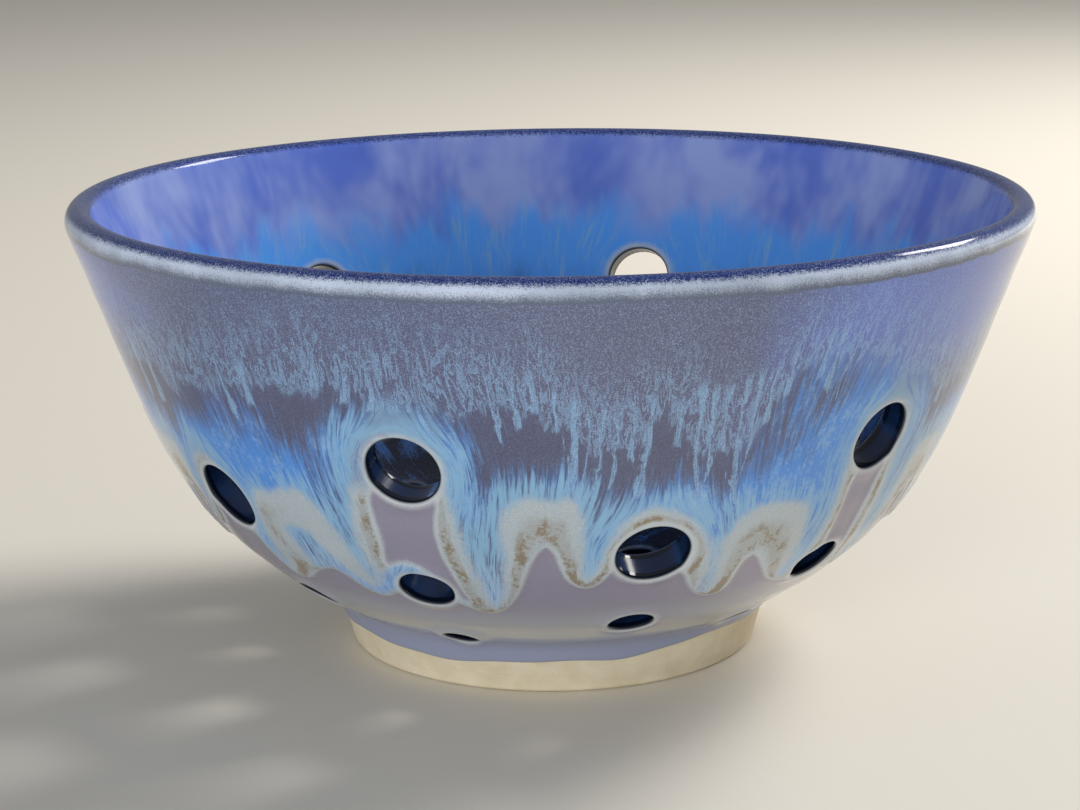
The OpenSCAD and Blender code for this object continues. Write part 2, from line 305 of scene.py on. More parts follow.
def hole(theta, place, out, bore, kind, s_out, s_in):
    """A hole's frame: centre, axis out of the wall, a level side direction and one up the wall"""
    (r, z), (nr, nz) = place, out
    sin, cos = np.sin(theta), np.cos(theta)
    return {"theta": theta, "center": np.array([r * sin, -r * cos, z]),
            "axis": np.array([nr * sin, -nr * cos, nz]), "side": np.array([cos, sin, 0]),
            "up": np.array([-nz * sin, nz * cos, nr]), "r": bore / 2, "kind": kind,
            "s_out": s_out, "s_in": s_in}


def hole_edge(h):
    """Radius of the sponged edge round a hole: smaller where the hole is small"""
    return min(sizes().hole_edge, HOLE_EDGE_SHARE * h["r"])


def edge_profile(h):
    """The sponged edge as pairs of radius and depth: a quarter circle, and then a step into the bore"""
    edge = hole_edge(h)
    arc = [(h["r"] + edge * (1 - np.sin(a)), edge * (1 - np.cos(a))) for a in EDGE_ANGLES]
    return arc + [(h["r"], edge + BORE_LEAD)]


# The most that a hole's sponged edge takes, as a share of its radius, and how far the coats run on
# into a bore past it
HOLE_EDGE_SHARE = 0.2
BORE_LEAD = 0.6 * MM
EDGE_ANGLES = np.radians((14, 30, 46, 62, 78, 90))


def face_places(line, h, face, flat):
    """Turn and length of the points of a face that lie over the points flat, given as side and up
    distances from the hole's axis. Each round moves them by what they still miss."""
    sign = 1 if face == "s_out" else -1
    r = max(float(np.interp(h[face], line["s"], line["r"])), h["r"])
    theta = h["theta"] + flat[..., 0] / r
    s = h[face] + sign * flat[..., 1]
    for _ in range(PLACE_ROUNDS):
        off = surface(line, theta, s) - h["center"]
        missed = flat - np.stack([off @ h["side"], off @ h["up"]], -1)
        theta = theta + missed[..., 0] / np.maximum(np.interp(s, line["s"], line["r"]), h["r"])
        s = s + sign * missed[..., 1]
    return theta, s


# Rounds by which the points of a ring close in on their places
PLACE_ROUNDS = 8


# The look's fields: how far each point is from the dip's edge, how the glaze flowed, and so on

def near(theta):
    """The angle brought between half a turn either way"""
    return (theta + np.pi) % TURN - np.pi


def up_wall(line, z):
    """The length along the outside at a height"""
    lower = slice(0, np.searchsorted(line["s"], line["crown"]))
    return np.interp(z, line["z"][lower], line["s"][lower])


def arches(line):
    """The arches that part the run of the glaze: turn, length up the wall of the middle of the
    round top, and half width. Those of the columns start at a large hole."""
    r = sizes().large_hole / 2
    rows = []
    kinds = (TALL_COLUMNS, TALL_UP[0], TALL_ARCH_SHARE), (LOW_COLUMNS, LOW_UP[0], LOW_ARCH_SHARE)
    for columns, up, share in kinds:
        for turn, _, lift in columns:
            rows.append((turn, np.interp(up + lift, line["t"], line["outside_s"]), share * r))
    rows += [(turn, float(up_wall(line, z * MM)), half * MM) for turn, z, half in MID_ARCHES]
    return rows


# Half widths of the arches under the tall and the low columns, as shares of a large hole's radius
TALL_ARCH_SHARE = 0.7
LOW_ARCH_SHARE = 1.2


def rounded(points):
    """A closed line of points with its corners cut twice, each time at a quarter of both sides. A
    line that runs once round the bowl closes a whole turn further on."""
    span = np.array([round(points[-1, 0] - points[0, 0]), 0])
    for _ in range(2):
        ahead = np.concatenate([points[1:], points[:1] + span])
        points = np.stack([0.75 * points + 0.25 * ahead, 0.25 * points + 0.75 * ahead], 1).reshape(-1, 2)
    return np.stack([points, np.concatenate([points[1:], points[:1] + span])], 1)


def stray(turn):
    """Millimetres by which the drawn lines stray up and down: a few waves round the bowl, which
    fade out towards the front"""
    return STRAY_H * np.sin(TURN * STRAYS * turn + 1) * smooth(0.13, 0.25, turn) * smooth(0.85, 0.8, turn)


# How far they stray at most, and the number of waves round the bowl
STRAY_H = 0.9
STRAYS = 5


def drawn_lines(line):
    """The dip's edge and the cream band's outer line as segments of angle and length up the wall.
    From column to column the drawn line is moved to the height of the holes at its two ends."""
    tall = [(turn, TALL_UP[0] + lift, TALL_Z, "tall") for turn, _, lift in TALL_COLUMNS]
    low = [(turn - (turn > LEFT_FROM), LOW_UP[0] + lift, LOW_Z, "low") for turn, _, lift in LOW_COLUMNS]
    columns = sorted(tall + low)
    edge, cream = [], []
    for k, (turn, up, plain_z, kind) in enumerate(columns):
        last_turn, last_up, last_z, _ = columns[(k + 1) % len(columns)]
        last_turn += k + 1 == len(columns)
        rises = [float(np.interp(np.interp(u, line["t"], line["outside_s"]), line["s"], line["z"])) / MM - z
                 for u, z in ((up, plain_z), (last_up, last_z))]
        edge_rows, cream_rows = ((EDGE_TALL_LOW, CREAM_TALL_LOW) if kind == "tall"
                                 else (EDGE_LOW_TALL, CREAM_LOW_TALL))
        if k == 0:
            edge_rows, cream_rows, rises = EDGE_LEFT, CREAM_LEFT, (0, 0)
        elif k == 1:
            edge_rows, rises = EDGE_MIDDLE, (0, rises[1])
        for rows, found in ((edge_rows, edge), (cream_rows, cream)):
            for share, z in rows:
                at = turn + share * (last_turn - turn)
                z = z + rises[0] * (1 - smooth(0.1, 0.5, share)) + rises[1] * smooth(0.5, 0.9, share)
                found.append((at, z + stray(at) * smooth(44, 40, z)))
    first, second = columns[1][0], columns[2][0]
    island, blue = ([(first + share * (second - first), z) for share, z in rows]
                    for rows in (WAKE_ISLAND, BLUE_ISLAND))
    result = []
    for groups in ((edge, island), (cream, blue)):
        segments = np.concatenate([rounded(np.array(g)) for g in groups])
        result.append(np.stack([segments[..., 0] * TURN, up_wall(line, segments[..., 1] * MM)], -1))
    return result


# Heights in millimetres of the large holes between which the lines were drawn, and the turn from
# which a column counts as left of the front
TALL_Z = 46.5
LOW_Z = 31.6
LEFT_FROM = 0.84


def signed_distance(theta, s, r, segments):
    """Distance of each point from the nearest segment, below zero where a ray up the wall from the
    point crosses the segments an odd number of times"""
    result = np.empty(len(s))
    a, b = segments[:, 0], segments[:, 1]
    for start in range(0, len(s), POINTS_AT_ONCE):
        part = slice(start, start + POINTS_AT_ONCE)
        scale = r[part, None]
        px = near(theta[part, None] - a[:, 0]) * scale
        py = s[part, None] - a[:, 1]
        bx = (b[:, 0] - a[:, 0]) * scale
        by = b[:, 1] - a[:, 1]
        t = np.clip((px * bx + py * by) / np.maximum(bx * bx + by * by, TINY), 0, 1)
        least = np.sqrt(((px - t * bx) ** 2 + (py - t * by) ** 2).min(1))
        spans = (px > 0) != (px - bx > 0)
        over = by * px / np.where(np.abs(bx) < TINY, TINY, bx) > py
        odd = (spans & over).sum(1) % 2 == 1
        result[part] = np.where(odd, -least, least)
    return result


# Points that are measured against all the segments at once, and what a divisor is at least
POINTS_AT_ONCE = 4000
TINY = 1e-12


def stream(line, theta, s):
    """The glaze's run as a complex number: its real part names the streamline, its imaginary part
    is how far up the streamline a point is, both as angles. It is an even flow down the wall, in
    the angle and in the length over the radius, which keep shapes, parted by a source under each
    arch, minus i w / 2 pi log of the offset, and by a doublet in each hole, minus a a / offset."""
    step = np.diff(line["s"]) / np.maximum(line["r"][1:], 2 * MM)
    dense = np.concatenate([[0], np.cumsum(step)])
    crown = np.interp(line["crown"], line["s"], dense)
    inner = s > line["crown"]

    def up_flow(outside, inside):
        """How far up the flow a place is, whose length along the wall differs from face to face"""
        folded = 2 * crown - np.interp(inside, line["s"], dense)
        return np.where(inner, folded, np.interp(outside, line["s"], dense))

    y = up_flow(s, s)
    zeta = theta + 1j * y
    flow = zeta.copy()
    total = 0
    for turn, top, half in arches(line):
        top_r, top_z, _, _ = on_line(line, top)
        width = 2 * (half + PARTING) / top_r
        offset = theta - turn * TURN
        turns = np.round((offset - near(offset)) / TURN)
        at = up_flow(top, inside_length(line, "z", top_z))
        local = 2 * np.sin((near(offset) + 1j * (y - at)) / 2)
        local = np.where(np.abs(local) < LEAST_OFFSET, LEAST_OFFSET, local)
        flow += -1j * width / TURN * np.log(-1j * local) - width / 2 * turns
        total += width
    flow += total / (2 * TURN) * zeta
    for h in HOLES:
        if h["s_out"] is None:
            continue
        at = up_flow(h["s_out"], h["s_in"])
        a = (h["r"] + HOLE_PARTING) / np.interp(h["s_out"], line["s"], line["r"])
        local = 2 * np.sin((near(theta - h["theta"]) + 1j * (y - at)) / 2)
        size = np.maximum(np.abs(local), HELD_SHARE * a)
        flow -= a * a / (size * np.exp(1j * np.angle(local)))
    return flow


# How much wider than its bare middle an arch parts the flow, to each side, and a hole likewise
PARTING = 1.4 * MM
HOLE_PARTING = 1.2 * MM
# Offset from an arch's source within which the flow is held, and the share of a doublet's radius
LEAST_OFFSET = 1e-4
HELD_SHARE = 0.6
# Radius in millimetres at which the flow's pattern has its real size
FLOW_RADIUS = 60
# Distance in millimetres past which the dip's edge and the cream band no longer matter, the same for
# a hole's edge, and the height up to which those two lines are drawn
FAR = 25.0
RIM_FAR = 30.0
DRAWN_HEIGHT = 62 * MM
# How far along its axis a hole's own side of the wall reaches
WALL_REACH = 12 * MM
# How far to either side of the crown the outside's look fades into the inside's
LIP_FADE = 2 * MM
# Half the angle at the back where the streamlines' numbers start again, and the drip there: none
BACK_SEAM = 0.03
NO_DRIP = (80, 80, 0)
# The holes of the bowl, filled by the operators that lay the coats
HOLES = []


def glaze_fields(line, theta, s, face):
    """Fields of the glaze at each point, in millimetres. run: how far inside the dip's edge. halo:
    how far outside the cream band. flow: the streamline as a point on a circle, and the way along
    it. height: over the table. rim: distance from the nearest hole's edge. fray: height over the
    lower end of the frayed veil. lane: number of the drip that the streamline belongs to, with gap
    from drip to drip, and that drip's root, tip and half width. blue: how far the glaze turns blue.
    inner: 1 on the inside, 0 on the outside."""
    r, z, _, _ = on_line(line, s)
    inner = smooth(-LIP_FADE, LIP_FADE, s - line["crown"])
    run, halo = (np.full(len(s), FAR) for _ in range(2))
    low = (z < DRAWN_HEIGHT) & (s < line["crown"])
    for field, segments in zip((run, halo), drawn_lines(line)):
        field[low] = np.minimum(signed_distance(theta[low], s[low], r[low], segments) / MM, FAR)
    flow = stream(line, theta, s)
    roots = np.array([stream(line, np.array([turn * TURN]), np.array([up_wall(line, top * MM)]))[0].real
                      for turn, top, _, _ in DRIPS])
    order = np.argsort(near(roots))
    roots = near(roots)[order]
    count = len(roots)
    ends = np.concatenate([[roots[-1] - TURN], roots, [roots[0] + TURN]])
    lane = np.interp(near(flow.real), ends, np.arange(-1, count + 1))
    gap = np.diff(ends)[np.clip(np.floor(lane).astype(int) + 1, 0, count)] * FLOW_RADIUS
    shapes = np.array([d[1:] for d in DRIPS])[order]
    below = np.floor(lane).astype(int)
    share = smooth(0.3, 0.7, lane - below)[:, None]
    drip = shapes[below % count] * (1 - share) + shapes[(below + 1) % count] * share
    drip[np.abs(near(flow.real)) > np.pi - BACK_SEAM] = NO_DRIP
    blue = np.zeros(len(s))
    for turn, middle, wide, tall in BLUES:
        away = (near(theta - turn * TURN) / TURN / wide) ** 2 + ((z / MM - middle) / tall) ** 2
        blue = np.maximum(blue, np.exp(-away))
    rim = np.full(len(s), RIM_FAR)
    at = surface(line, theta, s)
    for h in HOLES:
        if h[face] is not None:
            off = at - h["center"]
            across = (np.hypot(off @ h["side"], off @ h["up"]) - h["r"] - hole_edge(h)) / MM
            rim = np.where(np.abs(off @ h["axis"]) < WALL_REACH, np.minimum(rim, across), rim)
    fray = np.array(sorted((turn % 1, high) for turn, high in FRAY_ENDS))
    fray = z / MM - np.interp((theta / TURN) % 1, fray[:, 0], fray[:, 1], period=1)
    ring = np.stack([np.sin(flow.real), np.cos(flow.real), flow.imag], -1) * FLOW_RADIUS
    return {"run": run, "halo": halo, "flow": ring, "height": z / MM, "rim": rim, "fray": fray,
            "lane": lane, "gap": gap, "root": drip[:, 0], "tip": drip[:, 1], "half": drip[:, 2],
            "blue": blue, "inner": inner}


# Long drips: share of a turn at the root, heights of root and tip over the table and half width, in
# millimetres
DRIPS = (
    (-0.0745, 63, 59.3, 0.7), (-0.066, 61, 57.5, 0.5), (-0.056, 61, 56.5, 0.6), (-0.0427, 60, 53.5, 0.5),
    (-0.0185, 61, 52.5, 0.7), (-0.0125, 61, 54.3, 0.5), (-0.0065, 62, 57.5, 0.6), (0.001, 60, 54.3, 0.6),
    (0.007, 59, 46, 1.1), (0.0115, 56, 40, 0.45), (0.016, 57, 36, 0.4), (0.0205, 55, 44.5, 0.5),
    (0.026, 56, 49.5, 0.6), (0.031, 58, 42.5, 0.6), (0.0405, 57, 51, 0.6), (0.0475, 60, 39.5, 1),
    (0.0515, 59, 45, 0.7), (0.0555, 59, 50, 0.6), (0.0615, 60, 38.5, 0.9), (0.066, 61, 49, 0.7),
    (0.071, 62, 53.5, 0.6), (0.077, 65, 58, 0.5), (0.0885, 66, 60, 0.5), (0.0935, 67, 57.5, 0.5),
    (0.0985, 65, 55.5, 0.4), (0.15, 60, 44, 1), (0.157, 58, 50, 0.7), (0.163, 57, 40, 0.6),
    (0.185, 59, 42, 1), (0.192, 60, 50, 0.6), (0.2, 62, 55, 0.6), (0.232, 60, 42, 1),
    (0.239, 58, 46, 0.6), (0.246, 57, 49, 0.7), (0.265, 61, 53, 0.7), (0.29, 64, 58, 0.5),
    (0.32, 60, 41, 1), (0.327, 58, 46, 0.6), (0.352, 59, 46, 0.9), (0.36, 62, 52, 0.6), (0.4, 60, 42, 1),
    (0.406, 58, 38, 0.5), (0.412, 57, 47, 0.7), (0.43, 58, 50, 0.7), (0.438, 61, 54, 0.6),
    (0.487, 60, 41, 1), (0.494, 58, 44, 0.6), (0.51, 60, 47, 0.8), (0.545, 62, 54, 0.6),
    (0.565, 60, 42, 1), (0.572, 58, 46, 0.6), (0.58, 59, 51, 0.7), (0.64, 61, 43, 1),
    (0.647, 59, 48, 0.6), (0.66, 58, 49, 0.8), (0.705, 60, 47, 0.9), (0.715, 58, 42, 0.6),
    (0.725, 59, 51, 0.7), (0.752, 60, 55, 0.6), (0.785, 60, 42, 1), (0.793, 59, 48, 0.7),
    (0.83, 60, 45, 1), (0.84, 60, 51, 0.6), (0.885, 61, 52, 0.7), (0.895, 61, 55, 0.6))
# Where the dip's streaks, and higher up its veil, turn blue: share of a turn and height over the
# table of the middle, and the shares of a turn and millimetres over which it fades
BLUES = (
    (0.092, 46, 0.028, 13), (-0.115, 45, 0.025, 11), (0.21, 44, 0.035, 12), (0.3, 48, 0.03, 14),
    (0.42, 42, 0.04, 12), (0.53, 46, 0.03, 14), (0.66, 44, 0.04, 13), (0.79, 46, 0.03, 13),
    (-0.064, 24, 0.03, 3), (0.14, 68, 0.075, 16), (0.37, 70, 0.06, 12), (0.6, 68, 0.06, 14),
    (0.8, 70, 0.05, 12))


def relief(theta, s, fields, face):
    """How far the glaze's face lies under the finished surface: the dip's thickness where only the
    base glaze is, less a bead along the dip's edge, with slow throwing rings and a hand's wobble"""
    run = fields["run"] * MM
    bare = smooth(STEP_IN, STEP_OUT, run) * smooth(0.2, 2.5, fields["rim"])
    bead = np.exp(-((run - BEAD_IN) / BEAD_W) ** 2) * smooth(90 * MM, 60 * MM, s) * (face == "s_out")
    rings = np.sin(TURN * s / RING_PITCH + 0.7 * np.sin(theta + 1)) * np.sin(s / RING_SWELL + 0.4)
    oval = np.sin(2 * theta + 0.6) * np.sin(s / OVAL_SWELL)
    three = np.sin(3 * theta - s / THREE_SWELL)
    return sizes().dip_t * bare - BEAD_H * bead + RING_H * rings + OVAL_H * oval + THREE_H * three


# From where to where the dip's face falls to the base glaze, measured inwards from its edge
STEP_IN = 1.2 * MM
STEP_OUT = -0.5 * MM
# The bead's height, how far inside the dip's edge it lies and its half width
BEAD_H = 0.16 * MM
BEAD_IN = 1.2 * MM
BEAD_W = 1.1 * MM
# Height and pitch of the throwing rings, how far the bowl is out of round, two and three ways, and
# the lengths up the wall over which each of them changes
RING_H = 0.05 * MM
RING_PITCH = 8.6 * MM
OVAL_H = 0.10 * MM
THREE_H = 0.06 * MM
RING_SWELL = 21 * MM
OVAL_SWELL = 40 * MM
THREE_SWELL = 30 * MM


# Meshes

def mesh_object(name, verts, faces, flat=(), fields=None):
    """A mesh object from arrays of points and of quads, whose faces listed in flat stay unsmoothed"""
    mesh = bpy.data.meshes.new(name)
    mesh.vertices.add(len(verts))
    mesh.vertices.foreach_set("co", np.ascontiguousarray(verts, np.float32).ravel())
    mesh.loops.add(faces.size)
    mesh.loops.foreach_set("vertex_index", faces.ravel().astype(np.int32))
    mesh.polygons.add(len(faces))
    mesh.polygons.foreach_set("loop_start", np.arange(len(faces), dtype=np.int32) * faces.shape[1])
    mesh.update(calc_edges=True)
    sharp = np.zeros(len(faces), bool)
    sharp[list(flat)] = True
    mesh.polygons.foreach_set("use_smooth", ~sharp)
    ends = np.zeros(2 * len(mesh.edges), np.int32)
    mesh.edges.foreach_get("vertices", ends)
    ends = np.sort(ends.reshape(-1, 2), 1).astype(np.int64)
    flat_ends = np.stack([faces[sharp], np.roll(faces[sharp], -1, 1)], -1).reshape(-1, 2)
    flat_ends = np.sort(flat_ends, 1).astype(np.int64)
    mesh.edges.foreach_set("use_edge_sharp", np.isin(ends @ (len(verts), 1), flat_ends @ (len(verts), 1)))
    for key, values in (fields or {}).items():
        kind = "FLOAT_VECTOR" if values.ndim == 2 else "FLOAT"
        layer = mesh.attributes.new(key, kind, "POINT")
        layer.data.foreach_set("vector" if values.ndim == 2 else "value",
                               np.ascontiguousarray(values, np.float32).ravel())
    mesh.validate()
    obj = bpy.data.objects.new(name, mesh)
    bpy.context.scene.collection.objects.link(obj)
    return obj


def vertex_normals(verts, faces):
    """Each vertex's normal: the sum of its faces' normals, which are half the cross product of a
    quad's diagonals, brought to length 1"""
    across = np.cross(verts[faces[:, 2]] - verts[faces[:, 0]], verts[faces[:, 3]] - verts[faces[:, 1]])
    total = np.zeros_like(verts)
    for k in range(4):
        for axis in range(3):
            total[:, axis] += np.bincount(faces[:, k], across[:, axis], len(verts))
    return total / np.maximum(np.linalg.norm(total, axis=1), TINY)[:, None]


def closed_shell(name, verts, faces, loops, thick, fields):
    """A skin given a thickness: the faces, the same faces turned over and moved inwards along the
    vertex normals, and a strip of quads along each open edge loop"""
    used = np.zeros(len(verts), bool)
    used[faces] = True
    new = np.cumsum(used) - 1
    verts, faces = verts[used], new[faces]
    loops = [new[loop] for loop in loops]
    count = len(verts)
    back = verts - thick * vertex_normals(verts, faces)
    strips = []
    for loop in loops:
        ahead = np.roll(loop, -1)
        strips.append(np.stack([ahead, loop, loop + count, ahead + count], 1))
    every = np.concatenate([faces, faces[:, ::-1] + count] + strips)
    flat = range(2 * len(faces), len(every))
    fields = {k: np.concatenate([v[used], v[used]]) for k, v in fields.items()}
    return mesh_object(name, np.concatenate([verts, back]), every, flat, fields)


def quads_between(lower, upper):
    """Quads between rows of points that close round the bowl or a hole"""
    return np.stack([lower, np.roll(lower, -1, -1), np.roll(upper, -1, -1), upper], -1)


def coat(name, line, rows, face, slide=None, center_hole=None):
    """A glaze coat as a lattice of columns round the bowl and rows of length along the wall. Round
    each hole a window of the lattice is cut and filled with rings that pass from the window's edge
    to the hole's sponged edge, round it and into the bore. slide moves points along the wall."""
    p = sizes()
    n = p.columns
    turn = np.arange(n) / n * TURN
    theta = np.tile(turn, (len(rows), 1))
    s = np.tile(rows[:, None], (1, n))
    if slide:
        s = slide(s, theta)
    index = np.arange(theta.size).reshape(theta.shape)
    cell = np.ones((len(rows) - 1, n), bool)
    thetas, lengths, sinks = [theta.ravel()], [s.ravel()], [np.zeros(s.size)]
    axes, ring_faces = [np.zeros((s.size, 3))], []

    def add_ring(last, th, ln, depth, inward):
        """Adds a ring of points, sunk inwards by depth, and the quads from the ring before it"""
        ring = sum(map(len, thetas)) + np.arange(len(th))
        thetas.append(th)
        lengths.append(ln)
        sinks.append(np.full(len(th), depth))
        axes.append(np.tile(inward, (len(th), 1)))
        ring_faces.append(quads_between(last, ring))
        return ring

    loops = [index[0]]
    if center_hole is None:
        loops.append(index[-1][::-1])
    for h in HOLES:
        if h[face] is None or h is center_hole:
            continue
        reach = h["r"] + hole_edge(h)
        half = reach + max(LEAST_MARGIN, MARGIN_SHARE * reach)
        step = float(np.interp(h[face], line["s"], line["r"])) * TURN / n
        mid = int(round(h["theta"] / TURN * n))
        wide = int(np.ceil(half / step))
        cols = np.arange(mid - wide, mid + wide + 1) % n
        low, high = (int(np.argmin(np.abs(rows - (h[face] + way * half)))) for way in (-1, 1))
        low, high = max(low, 1), min(high, len(rows) - 2)
        block = index[low:high + 1][:, cols]
        cell[np.ix_(np.arange(low, high), cols[:-1])] = False
        last = np.concatenate([block[0, :-1], block[:-1, -1], block[-1, :0:-1], block[:0:-1, 0]])
        at = surface(line, theta.ravel()[last], s.ravel()[last]) - h["center"]
        start = np.stack([at @ h["side"], at @ h["up"]], -1)
        angle = np.arctan2(start[:, 1], start[:, 0])
        around = np.stack([np.cos(angle), np.sin(angle)], -1)
        steps = max(LEAST_RINGS, int(round((half - reach) * RINGS_A_PITCH / p.pitch)) + 1)
        rings = [(start + (reach * around - start) * k / steps, 0) for k in range(1, steps + 1)]
        rings += [(radius * around, depth) for radius, depth in edge_profile(h)]
        for flat, depth in rings:
            last = add_ring(last, *face_places(line, h, face, flat), depth,
                            -h["axis"] if face == "s_out" else h["axis"])
        loops.append(last[::-1])
    if center_hole is not None:
        last = index[-1]
        for radius, depth in edge_profile(center_hole):
            level = np.full(n, inside_length(line, "r", radius))
            last = add_ring(last, turn, level, depth, center_hole["axis"])
        loops.append(last[::-1])
    faces = np.concatenate([quads_between(index[:-1], index[1:])[cell]] + ring_faces)
    theta, s = np.concatenate(thetas), np.concatenate(lengths)
    sink, axis = np.concatenate(sinks), np.concatenate(axes)
    fields = glaze_fields(line, theta, s, face)
    fields["rim"] = np.where(sink > 0, -sink / MM - PAST_RIM, fields["rim"])
    deep = relief(theta, s, fields, face) + edge_taper(line, theta, s)
    verts = surface(line, theta, s, deep) + sink[:, None] * axis
    return closed_shell(name, verts, faces, loops, p.shell_t, fields)


# How much further in, in millimetres, the field of the rim counts what lies past a sponged edge
PAST_RIM = 0.6
# How far a window reaches past that edge: the least, and as a share of the edge's outer radius
LEAST_MARGIN = 1.2 * MM
MARGIN_SHARE = 0.22
# Rings from a window to the hole's edge: the fewest, and how many to a pitch
LEAST_RINGS = 3
RINGS_A_PITCH = 1.2


def glaze_edge(line, theta):
    """The length along the wall at which the glaze ends on the foot: a wavy line, with a step
    where it was wiped higher"""
    wave = sum(high * np.sin(count * theta + start) for high, count, start in EDGE_WAVES)
    lift = WIPED_H * smooth(0.25, 0.75, near(theta)) * smooth(1.9, 1.2, near(theta))
    step = WIPED_STEP * smooth(0.88, 1, near(theta)) * smooth(1.9, 1.2, near(theta))
    return (sizes().glaze_line - LINE_DROP + (wave + lift + step) * MM) / line["foot_run"][1]


# Waves of that line: height in millimetres, number round the bowl and the angle they start from
EDGE_WAVES = ((0.35, 3, 0.4), (0.25, 7, 2), (0.12, 17, 0))
# How far the line was wiped up, in millimetres, with the step in it, and how far the rest lies under
# the glaze line
WIPED_H = 1.5
WIPED_STEP = 0.35
LINE_DROP = 0.6 * MM


def edge_taper(line, theta, s):
    """How the glaze thins in a round bead to its edge on the foot"""
    up = np.clip((s - glaze_edge(line, theta)) / TAPER, 0, 1)
    return (sizes().base_t - LEAST_GLAZE) * (1 - np.sqrt(1 - (1 - up) ** 2)) * (s < line["crown"])


# Length of that bead, and the thickness that is left at its end
TAPER = 0.7 * MM
LEAST_GLAZE = 0.06 * MM
# How far below the lip's inner edge the outside coat meets the inside coat
SEAM = 5 * MM


def tube_object(name, line, holes):
    """The linings of a group of holes: for each, a tube round its axis from behind one coat's edge
    to behind the other's, a ring at a time: down the bore and back up behind it."""
    angle = np.linspace(0, TURN, TUBE_STEPS, endpoint=False)
    around = np.stack([np.cos(angle), np.sin(angle)], -1)
    thick = sizes().lining_t
    bore = [(share, LINING_BACK) for share in (0, 0.25, 0.5, 0.75, 1)]
    profile = [(0, thick)] + bore + [(1, thick), (0.5, thick)]
    verts = []
    for h in holes:
        inset = hole_edge(h) + BORE_LEAD - COVERED
        ends = []
        for face, way in (("s_out", -1), ("s_in", 1)):
            level = 0 * angle
            if h[face] is not None:
                at = surface(line, *face_places(line, h, face, h["r"] * around)) - h["center"]
                level = at @ h["axis"] + way * inset
            ends.append(level[:, None])
        circle = around[:, :1] * h["side"] + around[:, 1:] * h["up"]
        for share, out in profile:
            level = ends[0] + (ends[1] - ends[0]) * share
            verts.append(h["center"] + (h["r"] + out) * circle + level * h["axis"])
    tube = np.arange(len(profile) * TUBE_STEPS).reshape(-1, TUBE_STEPS)
    quads = quads_between(tube, np.roll(tube, -1, 0)).reshape(-1, 4)
    faces = np.concatenate([quads + k * tube.size for k in range(len(holes))])
    band = np.arange(len(faces)) // TUBE_STEPS % len(profile)
    ends = np.flatnonzero((band == 0) | (band == 5))
    return mesh_object(name, np.concatenate(verts), faces, ends)


# Steps round a tube, how far its face lies behind the bore, and how much the coats cover at each end
TUBE_STEPS = 64
LINING_BACK = 0.02 * MM
COVERED = 0.25 * MM


def foot_object(line):
    """The foot ring as a closed loop of radius and height turned about the axis: its standing face
    has rounded edges, and its sides carry fine turning lines that spiral by a pitch a turn"""
    p = sizes()
    top = np.array([p.foot_top_d / 2, p.foot_h])
    low_out, low_in = p.foot_d / 2, p.foot_d / 2 - p.foot_w
    recess = p.foot_h + p.floor_rise - p.floor_t
    run = line["foot_run"]
    e = FOOT_EDGE
    inner_top = np.array([low_in, recess])
    out_center, in_center = np.array([low_out - e, e]), np.array([low_in + e, e])
    lean = np.arctan2(run[0], run[1])
    a = np.linspace(-lean, -np.pi / 2, 12)
    b = np.linspace(-np.pi / 2, -np.pi, 12)
    side = np.linspace(0, 1, 26)[:-1, None]
    edge_top = out_center + e * np.array([np.cos(lean), -np.sin(lean)])
    points = np.concatenate([
        top + side * (edge_top - top),
        out_center + e * np.stack([np.cos(a), np.sin(a)], 1),
        in_center + e * np.stack([np.cos(b), np.sin(b)], 1),
        np.array([low_in, e]) + np.linspace(0.15, 1, 8)[:, None] * np.array([0, recess - e]),
        inner_top + np.linspace(0.2, 0.9, 4)[:, None] * (top - inner_top)])
    n = FOOT_COLUMNS
    theta = np.tile(np.arange(n) / n * TURN, (len(points), 1))
    r, z = points[:, :1], points[:, 1:]
    spiral = GROOVE_H * np.sin(TURN * z / GROOVE_PITCH - theta)
    wobble = FOOT_WOBBLE * np.sin(2 * theta + 9 * z / p.foot_h)
    free = smooth(0.4 * MM, 1.4 * MM, z) * smooth(p.foot_h, p.foot_h - 1 * MM, z)
    r = r - free * (FOOT_SINK + spiral + wobble)
    verts = np.stack([r * np.sin(theta), -r * np.cos(theta), z + 0 * theta], -1).reshape(-1, 3)
    ids = np.arange(theta.size).reshape(theta.shape)
    nxt = np.roll(ids, -1, 0)
    quads = np.stack([ids, nxt, np.roll(nxt, -1, 1), np.roll(ids, -1, 1)], -1).reshape(-1, 4)
    return mesh_object("foot_ring_turned", verts, quads)


# Radius of the edges of the standing face, pitch and height of the turning lines, how far they are
# sunk, the wobble of the foot's sides, and steps round the foot
FOOT_EDGE = 0.9 * MM
GROOVE_PITCH = 0.9 * MM
GROOVE_H = 0.035 * MM
FOOT_SINK = 0.05 * MM
FOOT_WOBBLE = 0.03 * MM
FOOT_COLUMNS = 360


# Materials

def linear(hex_colour):
    """An sRGB hex colour as the linear values that a shader takes"""
    value = [int(hex_colour[k:k + 2], 16) / 255 for k in (1, 3, 5)]
    return [v / 12.92 if v <= 0.04045 else ((v + 0.055) / 1.055) ** 2.4 for v in value] + [1]


def colour_property(name, description, hex_colour):
    """A colour for the sidebar"""
    return FloatVectorProperty(name=name, description=description, subtype="COLOR", size=4, min=0, max=1,
                               default=linear(hex_colour))


